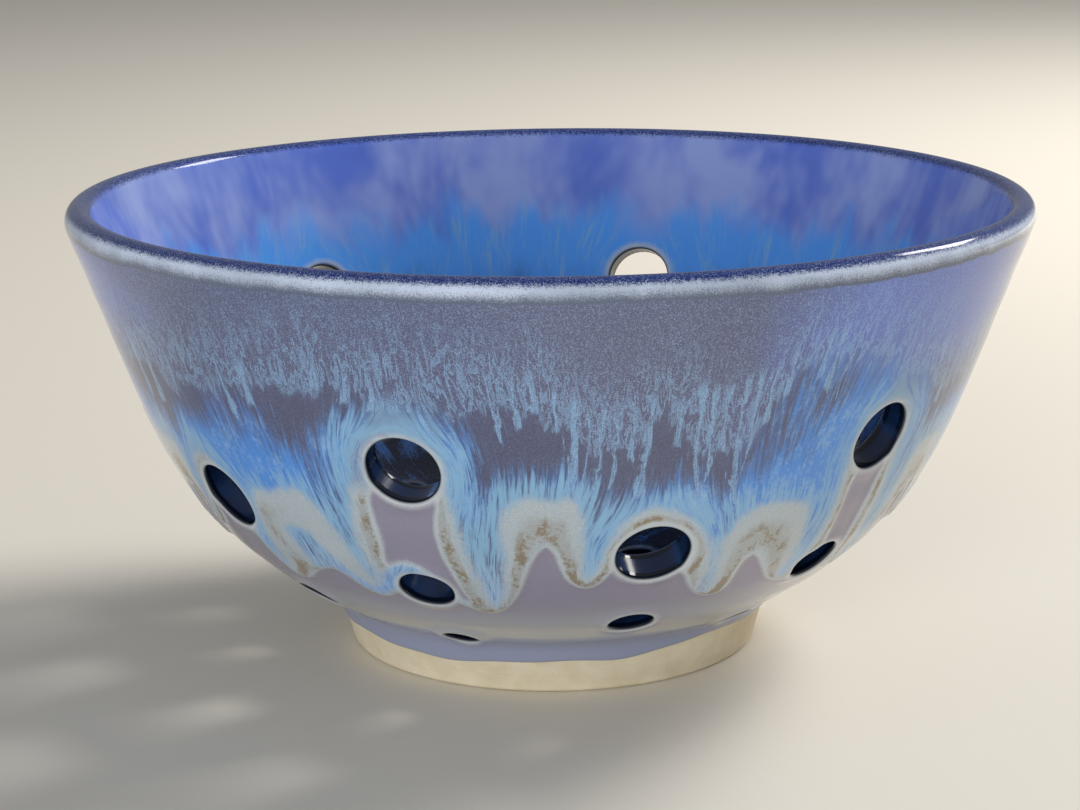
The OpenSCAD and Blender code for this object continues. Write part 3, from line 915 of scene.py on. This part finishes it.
class BowlColours(bpy.types.PropertyGroup):
    """Colours of the glazes, the clay and the stage"""
    base: colour_property("Base glaze", "Where only the base glaze is", "#8b8596")
    window: colour_property("Window", "Dip glaze between the veil and the arches", "#51536d")
    veil: colour_property("Veil", "Dip glaze of the upper half", "#585b76")
    veil_blue: colour_property("Veil, blue", "Bluer clouds in it", "#667ccc")
    veil_high: colour_property("Veil, high", "Dip glaze under the lip", "#575c78")
    fleck: colour_property("Fleck", "Fine pale flecks and strands", "#a3b6d8")
    drip: colour_property("Drip", "Pale drips that hang from the veil", "#8db2d6")
    blue: colour_property("Blue", "Streaked blue over the arches", "#4687d6")
    halo: colour_property("Halo", "Light blue that borders the arches", "#87b0cc")
    cream: colour_property("Cream", "Band where the glazes mix", "#98a7b2")
    tan: colour_property("Tan", "Patches in the band", "#86765c")
    crease: colour_property("Crease", "Where the base glaze pools over the foot", "#7f86a4")
    collar: colour_property("Collar", "Glaze drawn thin round the upper holes", "#787c98")
    pale_edge: colour_property("Pale edge", "Line at the dip's edge and round the holes", "#c0c6c8")
    lip: colour_property("Lip", "Top of the lip", "#12286a")
    # The lip band is partly pale glaze over the lip and partly a painted highlight on its curve, paling up
    # from the low colour
    lip_band: colour_property("Lip band", "Outer face of the lip", "#c9d4e8")
    lip_low: colour_property("Lip band, low", "Lower edge of that band", "#5a6478")
    inside: colour_property("Inside", "Upper half of the inside", "#5872cb")
    inside_cloud: colour_property("Inside clouds", "Paler clouds of the inside", "#93a4dc")
    inside_blue: colour_property("Inside, low", "Streaked blue of the inside", "#4f9cf0")
    # The pool is glaze pooled dark in the bottom of the bowl, darkened nearly to black as painted shade
    pool: colour_property("Pool", "Thick glaze in the bottom of the bowl", "#050d26")
    # Both lining colours are dark glaze darkened nearly to black as painted shade in the bores
    lining_shade: colour_property("Lining", "Glaze in the holes", "#040b1a")
    lining_thin: colour_property("Lining, thin", "That glaze where it is thinner", "#12294e")
    clay: colour_property("Clay", "Bare stoneware", "#d2c4a6")
    clay_pale: colour_property("Clay, pale", "Pale patches of it", "#e4d9c0")
    grog: colour_property("Grog", "Grains in the clay", "#b9a988")
    floor: colour_property("Floor", "Floor of the stage", "#e4ded2")
    air: colour_property("Air", "Light from all sides of the stage", "#dfe1e4")


def add(tree, kind, inputs, out=0, **settings):
    """Adds a node, sets it up, links or sets its inputs, and gives its output"""
    node = tree.nodes.new(kind)
    for key, value in settings.items():
        setattr(node, key, value)
    for key, value in inputs.items():
        if isinstance(value, bpy.types.NodeSocket):
            tree.links.new(value, node.inputs[key])
        else:
            node.inputs[key].default_value = value
    return node.outputs[out]


ATTRIBUTE, MATH, MIX = "ShaderNodeAttribute", "ShaderNodeMath", "ShaderNodeMix"
RANGE, NOISE, VECTOR = "ShaderNodeMapRange", "ShaderNodeTexNoise", "ShaderNodeVectorMath"
BUMP = "ShaderNodeBump"
# Index of refraction of a glassy glaze
GLAZE_IOR = 1.52


def new_material(name):
    """An empty node material and its shader"""
    material = bpy.data.materials.new(name)
    material.use_nodes = True
    return material, material.node_tree, material.node_tree.nodes["Principled BSDF"]


# Patterns of the glaze: where they are read, size in millimetres, how many times longer they are
# down the flow, detail, roughness and distortion
PATTERNS = {
    "hair": ("flow", 0.6, 14, 3, 0.62, 0.5),
    "worm": ("flow", 1.0, 4.2, 3, 0.62, 0.8),
    "strand": ("flow", 2.4, 5, 4, 0.66, 0.9),
    "tongue": ("flow", 6.5, 2.6, 3, 0.55, 0.3),
    "fleck": ("place", 0.2, 1, 2, 0.5, 0.4),
    "grain": ("place", 0.7, 1, 3, 0.65, 0.4),
    "patch": ("place", 4.5, 1, 2, 0.5, 0.5),
    "cloud": ("flow", 14, 1.6, 3, 0.6, 0.2),
}


def patterns(tree):
    """Sockets of all the patterns, in millimetres on the flow or on the object"""
    flow = add(tree, ATTRIBUTE, {}, "Vector", attribute_name="flow")
    place = add(tree, "ShaderNodeTexCoord", {}, "Object")
    place = add(tree, VECTOR, {0: place, 1: (1 / MM,) * 3}, operation="MULTIPLY")
    found = {}
    for name, (where, size, longer, detail, rough, distortion) in PATTERNS.items():
        at = add(tree, VECTOR, {0: flow if where == "flow" else place, 1: (1, 1, 1 / longer)},
                 operation="MULTIPLY")
        found[name] = add(tree, NOISE, {"Vector": at, "Scale": 1 / size, "Detail": detail,
                                        "Roughness": rough, "Distortion": distortion})
    return found


def follow(tree, known, recipe):
    """Adds the steps of a recipe. Each is a name, what is done, and what it is done to: names of
    earlier steps, fields, patterns and colours, or numbers. "ease" is the eased share of the way
    from one value to another, or the same way between two results. "cover" lays a colour over
    another by a mask, "sum" adds to a start each part times its weight, and the rest is arithmetic
    of one value or of a row of them."""
    for name, kind, *values in recipe:
        values = [known.get(v, v) if isinstance(v, str) else v for v in values]
        if kind == "ease":
            found = add(tree, RANGE, dict(enumerate(values)), interpolation_type="SMOOTHSTEP")
        elif kind == "cover":
            found = add(tree, MIX, dict(zip((0, 6, 7), values)), 2, data_type="RGBA")
        elif kind == "sum":
            found, *parts = values
            for part, weight in zip(parts[::2], parts[1::2]):
                found = add(tree, MATH, {0: part, 1: weight, 2: found}, operation="MULTIPLY_ADD")
        elif len(values) == 1:
            found = add(tree, MATH, {0: values[0]}, operation=kind.upper())
        else:
            found, *others = values
            for other in others:
                found = add(tree, MATH, {0: found, 1: other}, operation=kind.upper())
        known[name] = found
    return known


FIELDS = ("run", "halo", "rim", "height", "fray", "lane", "gap", "root", "tip", "half", "blue", "inner")
CENTRED = ("tongue", "strand", "hair", "worm", "grain", "cloud")
GLAZE_RECIPE = (
    # noise brought round zero, and fine lines where it crosses zero
    *((name + "s", "subtract", name, 0.5) for name in CENTRED),
    ("line", "absolute", "hairs"),
    ("worm_line", "absolute", "worms"),
    # the edges of the dip and of the cream band, roughened
    ("edge", "sum", "run", "grains", 0.6),
    ("outer", "sum", "halo", "strands", 3, "grains", 1.8, "hairs", 2),
    # windows under the veil, turning a speckled blue in places and towards the arches
    ("by_hole", "ease", "rim", 9, 0.5),
    ("near", "ease", "halo", 11, 1),
    ("near", "sum", "near", "by_hole", 0.5),
    ("blue_sum", "sum", "blue", "clouds", 1.2, "near", 0.7, "hairs", 1.8),
    ("blue_mask", "ease", "blue_sum", 0.25, 1.15),
    ("colour", "cover", "blue_mask", "window_c", "blue_c"),
    ("speckle", "sum", "worm", "patch", 0.9, "grains", 0.9),
    ("speckle", "ease", "speckle", 0.88, 1.25, 0, 0.6),
    ("speckle", "multiply", "speckle", "blue_mask"),
    ("colour", "cover", "speckle", "colour", "drip_c"),
    # light streaks that close up towards the arches and round the holes, milky where they run low
    ("light_sum", "ease", "halo", 7.5, 1.2),
    ("light_sum", "maximum", "light_sum", "by_hole"),
    ("light_sum", "sum", "light_sum", "blue", -0.3, "hairs", 3.4, "strands", 0.8),
    ("light_mask", "ease", "light_sum", 0.25, 1.25, 0, 0.9),
    ("milky", "ease", "height", 36, 20, 0, 0.5),
    ("light_mix", "cover", "milky", "halo_c", "lip_band_c"),
    ("colour", "cover", "light_mask", "colour", "light_mix"),
    ("line_width", "sum", 0.006, "by_hole", 0.012),
    ("line_out", "add", "line_width", 0.025),
    ("lines", "ease", "line", "line_out", "line_width", 0, 0.25),
    ("lines", "multiply", "lines", "near"),
    ("colour", "cover", "lines", "colour", "halo_c"),
    # the veil over them, bluer in clouds, with its ragged lower edge and fine flecks
    ("level", "sum", "fray", "tongues", 14, "strands", 9),
    ("veil_mask", "ease", "level", -5, 6),
    ("dusk", "ease", "height", 62, 76),
    ("veil_mix", "cover", "dusk", "veil_c", "veil_high_c"),
    ("tinge", "add", "blue", "clouds"),
    ("tinge", "ease", "tinge", 0.15, 1, 0, 0.9),
    ("veil_mix", "cover", "tinge", "veil_mix", "veil_blue_c"),
    ("colour", "cover", "veil_mask", "colour", "veil_mix"),
    ("fleck_mask", "ease", "fleck", 0.44, 0.7, 0, 0.44),
    ("fleck_high", "ease", "level", -6, 8),
    ("fleck_high", "maximum", "fleck_high", 0.35),
    ("fleck_mask", "multiply", "fleck_mask", "fleck_high"),
    ("colour", "cover", "fleck_mask", "colour", "fleck_c"),
    # worm-like threads that thicken down the veil, with ragged clots at their ends
    ("fray_low", "ease", "level", -0.5, 1.5),
    ("fray_high", "ease", "level", 20, 3),
    ("thread", "multiply", "fray_low", "fray_high"),
    ("width", "multiply", "thread", 0.034),
    ("width_out", "add", "width", 0.028),
    ("threads", "ease", "worm_line", "width_out", "width"),
    ("threads", "multiply", "threads", "thread"),
    ("clot_low", "ease", "level", -0.4, 0.3),
    ("clot_high", "ease", "level", 3.5, 0.6),
    ("clot_fill", "ease", "worm", 0.54, 0.62),
    ("clot", "multiply", "clot_low", "clot_high", "clot_fill"),
    # long drips: a thin neck down the middle of its lane, and a rounded clot at the tip
    ("across", "add", "lane", 0.5),
    ("across", "fract", "across"),
    ("across", "subtract", "across", 0.5),
    ("across", "multiply", "across", "gap"),
    ("across", "sum", "across", "strands", 2, "worms", 1.6),
    ("across", "absolute", "across"),
    ("over_tip", "subtract", "height", "tip"),
    ("over_tip", "sum", "over_tip", "hairs", 1.5),
    ("rooted", "subtract", "root", "height"),
    ("root_out", "ease", "rooted", 3, -2),
    ("neck", "ease", "over_tip", 5, 1.2),
    ("neck", "sum", 0.4, "neck", 0.55, "root_out", 0.35),
    ("body", "multiply", "neck", "half"),
    ("body", "subtract", "body", "across"),
    ("body", "ease", "body", -0.12, 0.14),
    ("tip_round", "ease", "over_tip", -0.4, 0.5),
    ("root_fade", "ease", "rooted", -3, 0),
    ("slit", "ease", "line", 0.01, 0.03),
    ("slit", "maximum", "slit", 0.3),
    ("drip", "multiply", "body", "tip_round", "root_fade", "slit", 0.9),
    ("pale", "maximum", "threads", "clot"),
    ("pale", "multiply", "pale", 0.62),
    ("pale", "maximum", "pale", "drip"),
    ("weave", "ease", "fleck", 0.4, 0.62, 0.5, 1),
    ("pale", "multiply", "pale", "weave"),
    ("colour", "cover", "pale", "colour", "drip_c"),
    # the cream band with its tan core and its pale edge, thin and grey round the upper holes
    ("inner_line", "minimum", "edge", "rim"),
    ("share_of", "subtract", "inner_line", "outer"),
    ("share_of", "maximum", "share_of", 0.2),
    ("share", "divide", "inner_line", "share_of"),
    ("mottle", "ease", "fleck", 0.36, 0.7, 0.25, 0.8),
    ("band", "cover", "mottle", "cream_c", "pale_edge_c"),
    ("core_in", "ease", "share", 0.14, 0.34),
    ("core_out", "ease", "share", 0.76, 0.52),
    ("core_low", "ease", "height", 44, 40),
    ("patches", "sum", "patch", "grains", 0.6),
    ("patches", "ease", "patches", 0.44, 0.6, 0.3, 0.9),
    ("core", "multiply", "core_in", "core_out", "patches", "core_low"),
    ("band", "cover", "core", "band", "tan_c"),
    ("collar", "ease", "height", 42, 46),
    ("ring_lines", "ease", "line", 0.06, 0.015, 0, 0.75),
    ("collar_mix", "cover", "ring_lines", "collar_c", "halo_c"),
    ("band", "cover", "collar", "band", "collar_mix"),
    ("collar_thin", "sum", 1, "collar", -0.25),
    ("cream_mask", "ease", "outer", 1.3, -1),
    ("cream_mask", "multiply", "cream_mask", "collar_thin"),
    ("colour", "cover", "cream_mask", "colour", "band"),
    ("outline", "absolute", "outer"),
    ("outline", "ease", "outline", 0.7, 0.2, 0, 0.5),
    ("outline", "multiply", "outline", "collar"),
    ("colour", "cover", "outline", "colour", "halo_c"),
    ("edge_line", "ease", "edge", 0.9, 0.2, 0, 0.45),
    ("colour", "cover", "edge_line", "colour", "pale_edge_c"),
    # the bare base glaze, paler towards the foot as painted light from the pale floor, and blue where it
    # pools in the crease
    ("base_fleck", "ease", "fleck", 0.4, 0.8, 0, 0.15),
    ("base_mix", "cover", "base_fleck", "base_c", "fleck_c"),
    # paler towards the foot: painted light thrown up from the pale floor
    ("thin", "ease", "height", 24, 13, 0, 0.6),
    ("base_mix", "cover", "thin", "base_mix", "pale_edge_c"),
    ("crease", "ease", "height", 11, 8.8, 0, 0.75),
    ("base_mix", "cover", "crease", "base_mix", "crease_c"),
    ("bare", "ease", "edge", 0.5, -0.5),
    ("colour", "cover", "bare", "colour", "base_mix"),
    # the inside: violet clouds over streaked blue, and a dark pool of glaze below, darkened nearly to black
    # as painted shade
    ("inside_level", "sum", "height", "tongues", 24),
    ("inside_low", "ease", "inside_level", 67, 57),
    ("cloud_mask", "ease", "cloud", 0.36, 0.66),
    ("inside_top", "cover", "cloud_mask", "inside_c", "inside_cloud_c"),
    ("inside_lines", "sum", "hairs", "strands", 1.6),
    ("inside_lines", "ease", "inside_lines", -0.05, 0.45, 0, 0.6),
    ("inside_streak", "cover", "inside_lines", "inside_blue_c", "halo_c"),
    ("inside_mix", "cover", "inside_low", "inside_top", "inside_streak"),
    # the pool darkens towards the bottom, as pooled glaze and as painted shade
    ("pool_shade_level", "sum", "height", "tongues", 16),
    ("pool", "ease", "pool_shade_level", 54, 38),
    ("pool_blue", "sum", "strand", "clouds", 1.6, "grains", 0.5),
    ("pool_blue", "ease", "pool_blue", 0.42, 0.85, 0, 0.34),
    ("pool_shade_mix", "cover", "pool_blue", "pool_c", "inside_blue_c"),
    ("pool_fleck", "ease", "fleck", 0.56, 0.8, 0, 0.22),
    ("pool_shade_mix", "cover", "pool_fleck", "pool_shade_mix", "fleck_c"),
    ("inside_mix", "cover", "pool", "inside_mix", "pool_shade_mix"),
    ("inside_mask", "ease", "inner", 0.35, 0.65),
    ("colour", "cover", "inside_mask", "colour", "inside_mix"),
    # the lip: a pale band outside, part pale glaze and part a painted highlight that brightens towards the
    # crown, dark on top where the glaze ran off
    ("lip_level", "sum", "height", "tongues", 1.6, "hairs", 0.5),
    ("band_low", "ease", "lip_level", 74.75, 75.1),
    ("outside", "ease", "inner", 0.3, 0),
    ("lip_mask", "multiply", "band_low", "outside"),
    ("lip_highlight", "sum", "lip_level", "fleck", 2.6),
    ("lip_highlight", "ease", "lip_highlight", 76.4, 78.6),
    ("lip_part", "ease", "cloud", 0.35, 0.62, 0.7, 1),
    ("lip_highlight", "multiply", "lip_highlight", "lip_part"),
    ("lip_highlight_mix", "cover", "lip_highlight", "lip_low_c", "lip_band_c"),
    ("colour", "cover", "lip_mask", "colour", "lip_highlight_mix"),
    ("crown", "sum", "height", "grains", 1, "fleck", -1.6),
    ("crown", "ease", "crown", 76.4, 77.3),
    ("crown_fleck", "ease", "fleck", 0.48, 0.75, 0, 0.6),
    ("crown_mix", "cover", "crown_fleck", "lip_c", "fleck_c"),
    ("colour", "cover", "crown", "colour", "crown_mix"),
    # the holes: a pale ring where the glaze drew back from the edge, and dark glaze in the bore, darkened
    # further as painted shade
    # the pale ring is partly glaze drawn back from the edge and partly a painted highlight on the hole's
    # edge
    ("ring_out", "sum", "rim", "grains", 0.8),
    ("ring_out", "ease", "ring_out", 1.1, -0.45),
    ("ring_part", "sum", 0.35, "patch", 0.8),
    ("pooled", "multiply", "pool", "inside_mask"),
    ("unpooled", "sum", 1, "pooled", -0.8),
    ("ring_out", "multiply", "ring_out", "ring_part", "unpooled"),
    ("colour", "cover", "ring_out", "colour", "pale_edge_c"),
    ("bore", "ease", "rim", -0.6, -0.95),
    ("colour", "cover", "bore", "colour", "lining_shade_c"),
    # thickness that catches the light
    ("thick", "multiply", "strand", 0.05),
    ("thick", "sum", "thick", "pale", 0.05),
)


def reactive_glaze():
    """Two stoneware glazes, dipped one over the other and fired until they ran: a violet-grey veil
    of fine pale flecks that frays into strands and drips, blue streaks that part round the holes,
    and cream bands with tan patches along the arches of the dip's edge. Glassy all over."""
    name = "running_stoneware_glaze"
    if name in bpy.data.materials:
        return bpy.data.materials[name]
    colours = bpy.context.scene.bowl_colours
    material, tree, shader = new_material(name)
    known = patterns(tree)
    for field in FIELDS:
        known[field] = add(tree, ATTRIBUTE, {}, "Fac", attribute_name=field)
    for colour in colours.__annotations__:
        known[colour + "_c"] = getattr(colours, colour)
    follow(tree, known, GLAZE_RECIPE)
    bump = add(tree, BUMP, {"Strength": 0.25, "Distance": MM, "Height": known["thick"]})
    tree.links.new(known["colour"], shader.inputs["Base Color"])
    tree.links.new(bump, shader.inputs["Normal"])
    shader.inputs["Roughness"].default_value = 0.09
    shader.inputs["IOR"].default_value = GLAZE_IOR
    return material


def lining_glaze():
    """Dark blue glaze pooled in the holes, wet and glassy, darkened nearly to black as painted shade in the
    bores
    """
    c = bpy.context.scene.bowl_colours
    material, tree, shader = new_material("shaded_pooled_blue_glaze")
    patch = patterns(tree)["patch"]
    colour = add(tree, MIX, {0: patch, 6: c.lining_shade, 7: c.lining_thin}, 2, data_type="RGBA")
    tree.links.new(colour, shader.inputs["Base Color"])
    shader.inputs["Roughness"].default_value = 0.24
    shader.inputs["IOR"].default_value = GLAZE_IOR
    return material


def bare_stoneware():
    """Pale fired stoneware, sponged: matt, with grains of grog, pale patches and a fine roughness"""
    c = bpy.context.scene.bowl_colours
    material, tree, shader = new_material("bare_stoneware_clay")
    p = patterns(tree)
    mask = add(tree, RANGE, {0: p["fleck"], 1: 0.5, 2: 0.9})
    colour = add(tree, MIX, {0: mask, 6: c.clay, 7: c.grog}, 2, data_type="RGBA")
    mask = add(tree, RANGE, {0: p["patch"], 1: 0.2, 2: 0.9})
    colour = add(tree, MIX, {0: mask, 6: colour, 7: c.clay_pale}, 2, data_type="RGBA")
    bump = add(tree, BUMP, {"Strength": 0.4, "Distance": 0.05 * MM, "Height": p["grain"]})
    tree.links.new(colour, shader.inputs["Base Color"])
    tree.links.new(bump, shader.inputs["Normal"])
    shader.inputs["Roughness"].default_value = 0.72
    return material


# Stage

def camera():
    """The camera at the place that the rim, the foot and the holes of the photograph give"""
    data = bpy.data.cameras.new("camera")
    data.sensor_fit = "HORIZONTAL"
    data.sensor_width = 36
    data.lens = 88.53
    data.clip_start = 0.01
    obj = bpy.data.objects.new("camera", data)
    bpy.context.scene.collection.objects.link(obj)
    pitch, yaw, roll = 0.2357, 0.0046, -0.0088
    right = np.array([np.cos(yaw), np.sin(yaw), 0])
    ahead = np.array([-np.sin(yaw) * np.cos(pitch), np.cos(yaw) * np.cos(pitch), -np.sin(pitch)])
    over = np.cross(right, ahead)
    x = right * np.cos(roll) + over * np.sin(roll)
    y = -right * np.sin(roll) + over * np.cos(roll)
    matrix = np.eye(4)
    matrix[:3, 0], matrix[:3, 1], matrix[:3, 2] = x, y, -ahead
    matrix[:3, 3] = CAMERA_PLACE
    obj.matrix_world = Matrix(matrix.tolist())
    bpy.context.scene.camera = obj


CAMERA_PLACE = (0, -452.94 * MM, 149.32 * MM)
AIR_STRENGTH = 0.34
# Half the floor's side, the point that the lamps face, and their tints
FLOOR_HALF = 3.0
LAMP_TARGET = (0, 0, 0.03)
WARM = (1, 0.97, 0.93)
COOL = (0.94, 0.97, 1)
# Lamps: name, place and side in metres, power in watts, tint, and whether the glaze mirrors it
LAMPS = (
    ("key", (0.75, 0.55, 0.75), 0.5, 13, WARM, False), ("fill", (-0.4, -1.05, 0.25), 0.5, 8, COOL, False),
    ("glint", (0.66, 0.49, 0.67), 0.26, 2.2, WARM, True))


def area_light(name, place, size, power, colour):
    """A square lamp at a place, turned to the bowl"""
    data = bpy.data.lights.new(name, "AREA")
    data.shape = "SQUARE"
    data.size = size
    data.energy = power
    data.color = colour
    obj = bpy.data.objects.new(name, data)
    away = np.array(place, float) - np.array(LAMP_TARGET, float)
    away /= np.linalg.norm(away)
    side = np.cross((0, 0, 1), away)
    side /= np.linalg.norm(side)
    matrix = np.eye(4)
    matrix[:3, 0], matrix[:3, 1], matrix[:3, 2] = side, np.cross(away, side), away
    matrix[:3, 3] = place
    obj.matrix_world = Matrix(matrix.tolist())
    bpy.context.scene.collection.objects.link(obj)
    return obj


def make_stage():
    """A pale floor, a pale world, a soft key from the right and behind, a broad front fill, and a
    small lamp before the key, which alone is mirrored in the glaze"""
    c = bpy.context.scene.bowl_colours
    corners = [(x * FLOOR_HALF, y * FLOOR_HALF, 0) for x, y in ((-1, -1), (1, -1), (1, 1), (-1, 1))]
    mesh = bpy.data.meshes.new("floor")
    mesh.from_pydata(corners, [], [(0, 1, 2, 3)])
    floor = bpy.data.objects.new("floor", mesh)
    bpy.context.scene.collection.objects.link(floor)
    material, tree, shader = new_material("pale_floor_paint")
    shader.inputs["Base Color"].default_value = c.floor
    shader.inputs["Roughness"].default_value = 0.5
    mesh.materials.append(material)
    world = bpy.context.scene.world or bpy.data.worlds.new("studio")
    bpy.context.scene.world = world
    world.use_nodes = True
    background = world.node_tree.nodes["Background"]
    background.inputs["Color"].default_value = c.air
    background.inputs["Strength"].default_value = AIR_STRENGTH
    for name, place, size, power, tint, mirrored in LAMPS:
        area_light(name, place, size, power, tint).visible_glossy = mirrored
    bpy.context.scene.view_settings.view_transform = "Standard"
    camera()


# Pieces of the bowl as add-on operators

def outside_rows(line, start):
    """Lengths of the outside coat's rows: fine at the glaze's edge on the foot, then a pitch that
    grows up the wall, then fine over the lip"""
    fine = start + np.cumsum([0] + [step for count, step in FOOT_ROWS for _ in range(count)])
    lip = line["crown"] - LIP_OUT
    dense = np.linspace(fine[-1], lip, 2000)
    pitch = sizes().pitch * (1 + smooth(FINE_TO, COARSE_FROM, np.interp(dense, line["s"], line["z"])))
    steps = np.concatenate([[0], np.cumsum(np.diff(dense) / pitch[1:])])
    up = np.interp(np.linspace(0, steps[-1], int(steps[-1]) + 1)[1:], steps, dense)
    over = np.linspace(lip, line["crown"] + LIP_IN, LIP_ROWS)[1:]
    return np.concatenate([fine, up, over, np.linspace(over[-1], line["lip_in"] + SEAM, 3)[1:]])


# Rows at the glaze's edge: how many of each step
FOOT_ROWS = ((5, 0.12 * MM), (14, 0.45 * MM))
# Heights between which the pitch grows to twice its size
FINE_TO = 48 * MM
COARSE_FROM = 58 * MM
# How far the lip's fine rows reach from the crown, outside and inside, and how many they are
LIP_OUT = 5.5 * MM
LIP_IN = 5 * MM
LIP_ROWS = 19
# The inside's pitch as a share of the sidebar's
INSIDE_PITCH_SHARE = 1.33
# How far above the glaze's lowest row its wave is still whole, and where it has faded out
WAVE_WHOLE = 0.6 * MM
WAVE_GONE = 3.5 * MM


class BowlPiece:
    """What the operators share: the bowl rides on the model's one body"""
    bl_options = {"REGISTER"}

    @staticmethod
    def finish(obj, slot, *nodes):
        """Says what a piece rides on, and the model's nodes that it stands in for. The slot is not used."""
        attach(obj, "root")
        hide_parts(*nodes)
        return {"FINISHED"}


class BOWL_OT_outside_glaze(BowlPiece, bpy.types.Operator):
    """Lay the base glaze and the dipped glaze over the outside and the lip"""
    bl_idname = "bowl.outside_glaze"
    bl_label = "Outside glaze"

    def execute(self, context):
        line = wall_line()
        HOLES[:] = all_holes(line)
        start = float(glaze_edge(line, 0.0))
        rows = outside_rows(line, start)

        def slide(s, theta):
            """Moves the lowest rows to the glaze's wavy edge, less and less further up"""
            share = smooth(start + WAVE_GONE, start + WAVE_WHOLE, s)
            return s + (glaze_edge(line, theta) - start) * share

        obj = coat("outside_running_glaze", line, rows, "s_out", slide)
        obj.data.materials.append(reactive_glaze())
        return self.finish(obj, "dip_glaze", "outside_base_glaze", "rim_dip_glaze")


class BOWL_OT_inside_glaze(BowlPiece, bpy.types.Operator):
    """Lay the glaze of the inside, from under the lip to the middle hole of the floor"""
    bl_idname = "bowl.inside_glaze"
    bl_label = "Inside glaze"

    def execute(self, context):
        p = sizes()
        line = wall_line()
        HOLES[:] = all_holes(line)
        middle = next(h for h in HOLES if h["kind"] == "floor" and np.hypot(*h["center"][:2]) < 1 * MM)
        end = line["end"] - middle["r"] - hole_edge(middle)
        start = line["lip_in"] + SEAM
        rows = np.linspace(start, end, int((end - start) / (INSIDE_PITCH_SHARE * p.pitch)) + 1)
        obj = coat("inside_running_glaze", line, rows, "s_in", center_hole=middle)
        obj.data.materials.append(reactive_glaze())
        return self.finish(obj, "inside_glaze", "inside_base_glaze")


class BOWL_OT_linings(BowlPiece, bpy.types.Operator):
    """Line the drain holes with dark glaze, darkened further as painted shade"""
    bl_idname = "bowl.linings"
    bl_label = "Hole linings"

    def execute(self, context):
        line = wall_line()
        glaze = lining_glaze()
        for kind in ("large", "medium", "small", "floor"):
            holes = [h for h in all_holes(line) if h["kind"] == kind]
            obj = tube_object(f"{kind}_holes_glazed", line, holes)
            obj.data.materials.append(glaze)
            self.finish(obj, "lining_glaze", f"{kind}_hole_linings")
        return {"FINISHED"}


class BOWL_OT_foot(BowlPiece, bpy.types.Operator):
    """Turn the bare foot ring and give the bowl's body its clay"""
    bl_idname = "bowl.foot"
    bl_label = "Foot and clay"

    def execute(self, context):
        obj = foot_object(wall_line())
        clay = bare_stoneware()
        obj.data.materials.append(clay)
        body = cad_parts["clay_bowl"]
        for slot in body.material_slots:
            slot.material = clay
        return self.finish(obj, "clay", "foot_ring")


class BOWL_OT_stage(bpy.types.Operator):
    """Set the floor, the soft lamps and the camera"""
    bl_idname = "bowl.stage"
    bl_label = "Floor, light and camera"

    def execute(self, context):
        make_stage()
        return {"FINISHED"}


class BOWL_PT_panel(bpy.types.Panel):
    """The bowl's pieces, sizes and colours"""
    bl_idname = "BOWL_PT_panel"
    bl_label = "Berry colander bowl"
    bl_space_type = "VIEW_3D"
    bl_region_type = "UI"
    bl_category = "Bowl"

    def draw(self, context):
        for operator in OPERATORS:
            self.layout.operator(operator.bl_idname)
        for group in (context.scene.bowl_sizes, context.scene.bowl_colours):
            for name in group.__annotations__:
                self.layout.prop(group, name)


OPERATORS = (BOWL_OT_outside_glaze, BOWL_OT_inside_glaze, BOWL_OT_linings, BOWL_OT_foot, BOWL_OT_stage)
CLASSES = (BowlSizes, BowlColours) + OPERATORS + (BOWL_PT_panel,)


def register():
    for cls in CLASSES:
        bpy.utils.register_class(cls)
    bpy.types.Scene.bowl_sizes = PointerProperty(type=BowlSizes)
    bpy.types.Scene.bowl_colours = PointerProperty(type=BowlColours)


def unregister():
    del bpy.types.Scene.bowl_colours
    del bpy.types.Scene.bowl_sizes
    for cls in reversed(CLASSES):
        bpy.utils.unregister_class(cls)


def main():
    register()
    bpy.ops.bowl.outside_glaze()
    bpy.ops.bowl.inside_glaze()
    bpy.ops.bowl.linings()
    bpy.ops.bowl.foot()
    bpy.ops.bowl.stage()


if __name__ == "__main__":
    main()
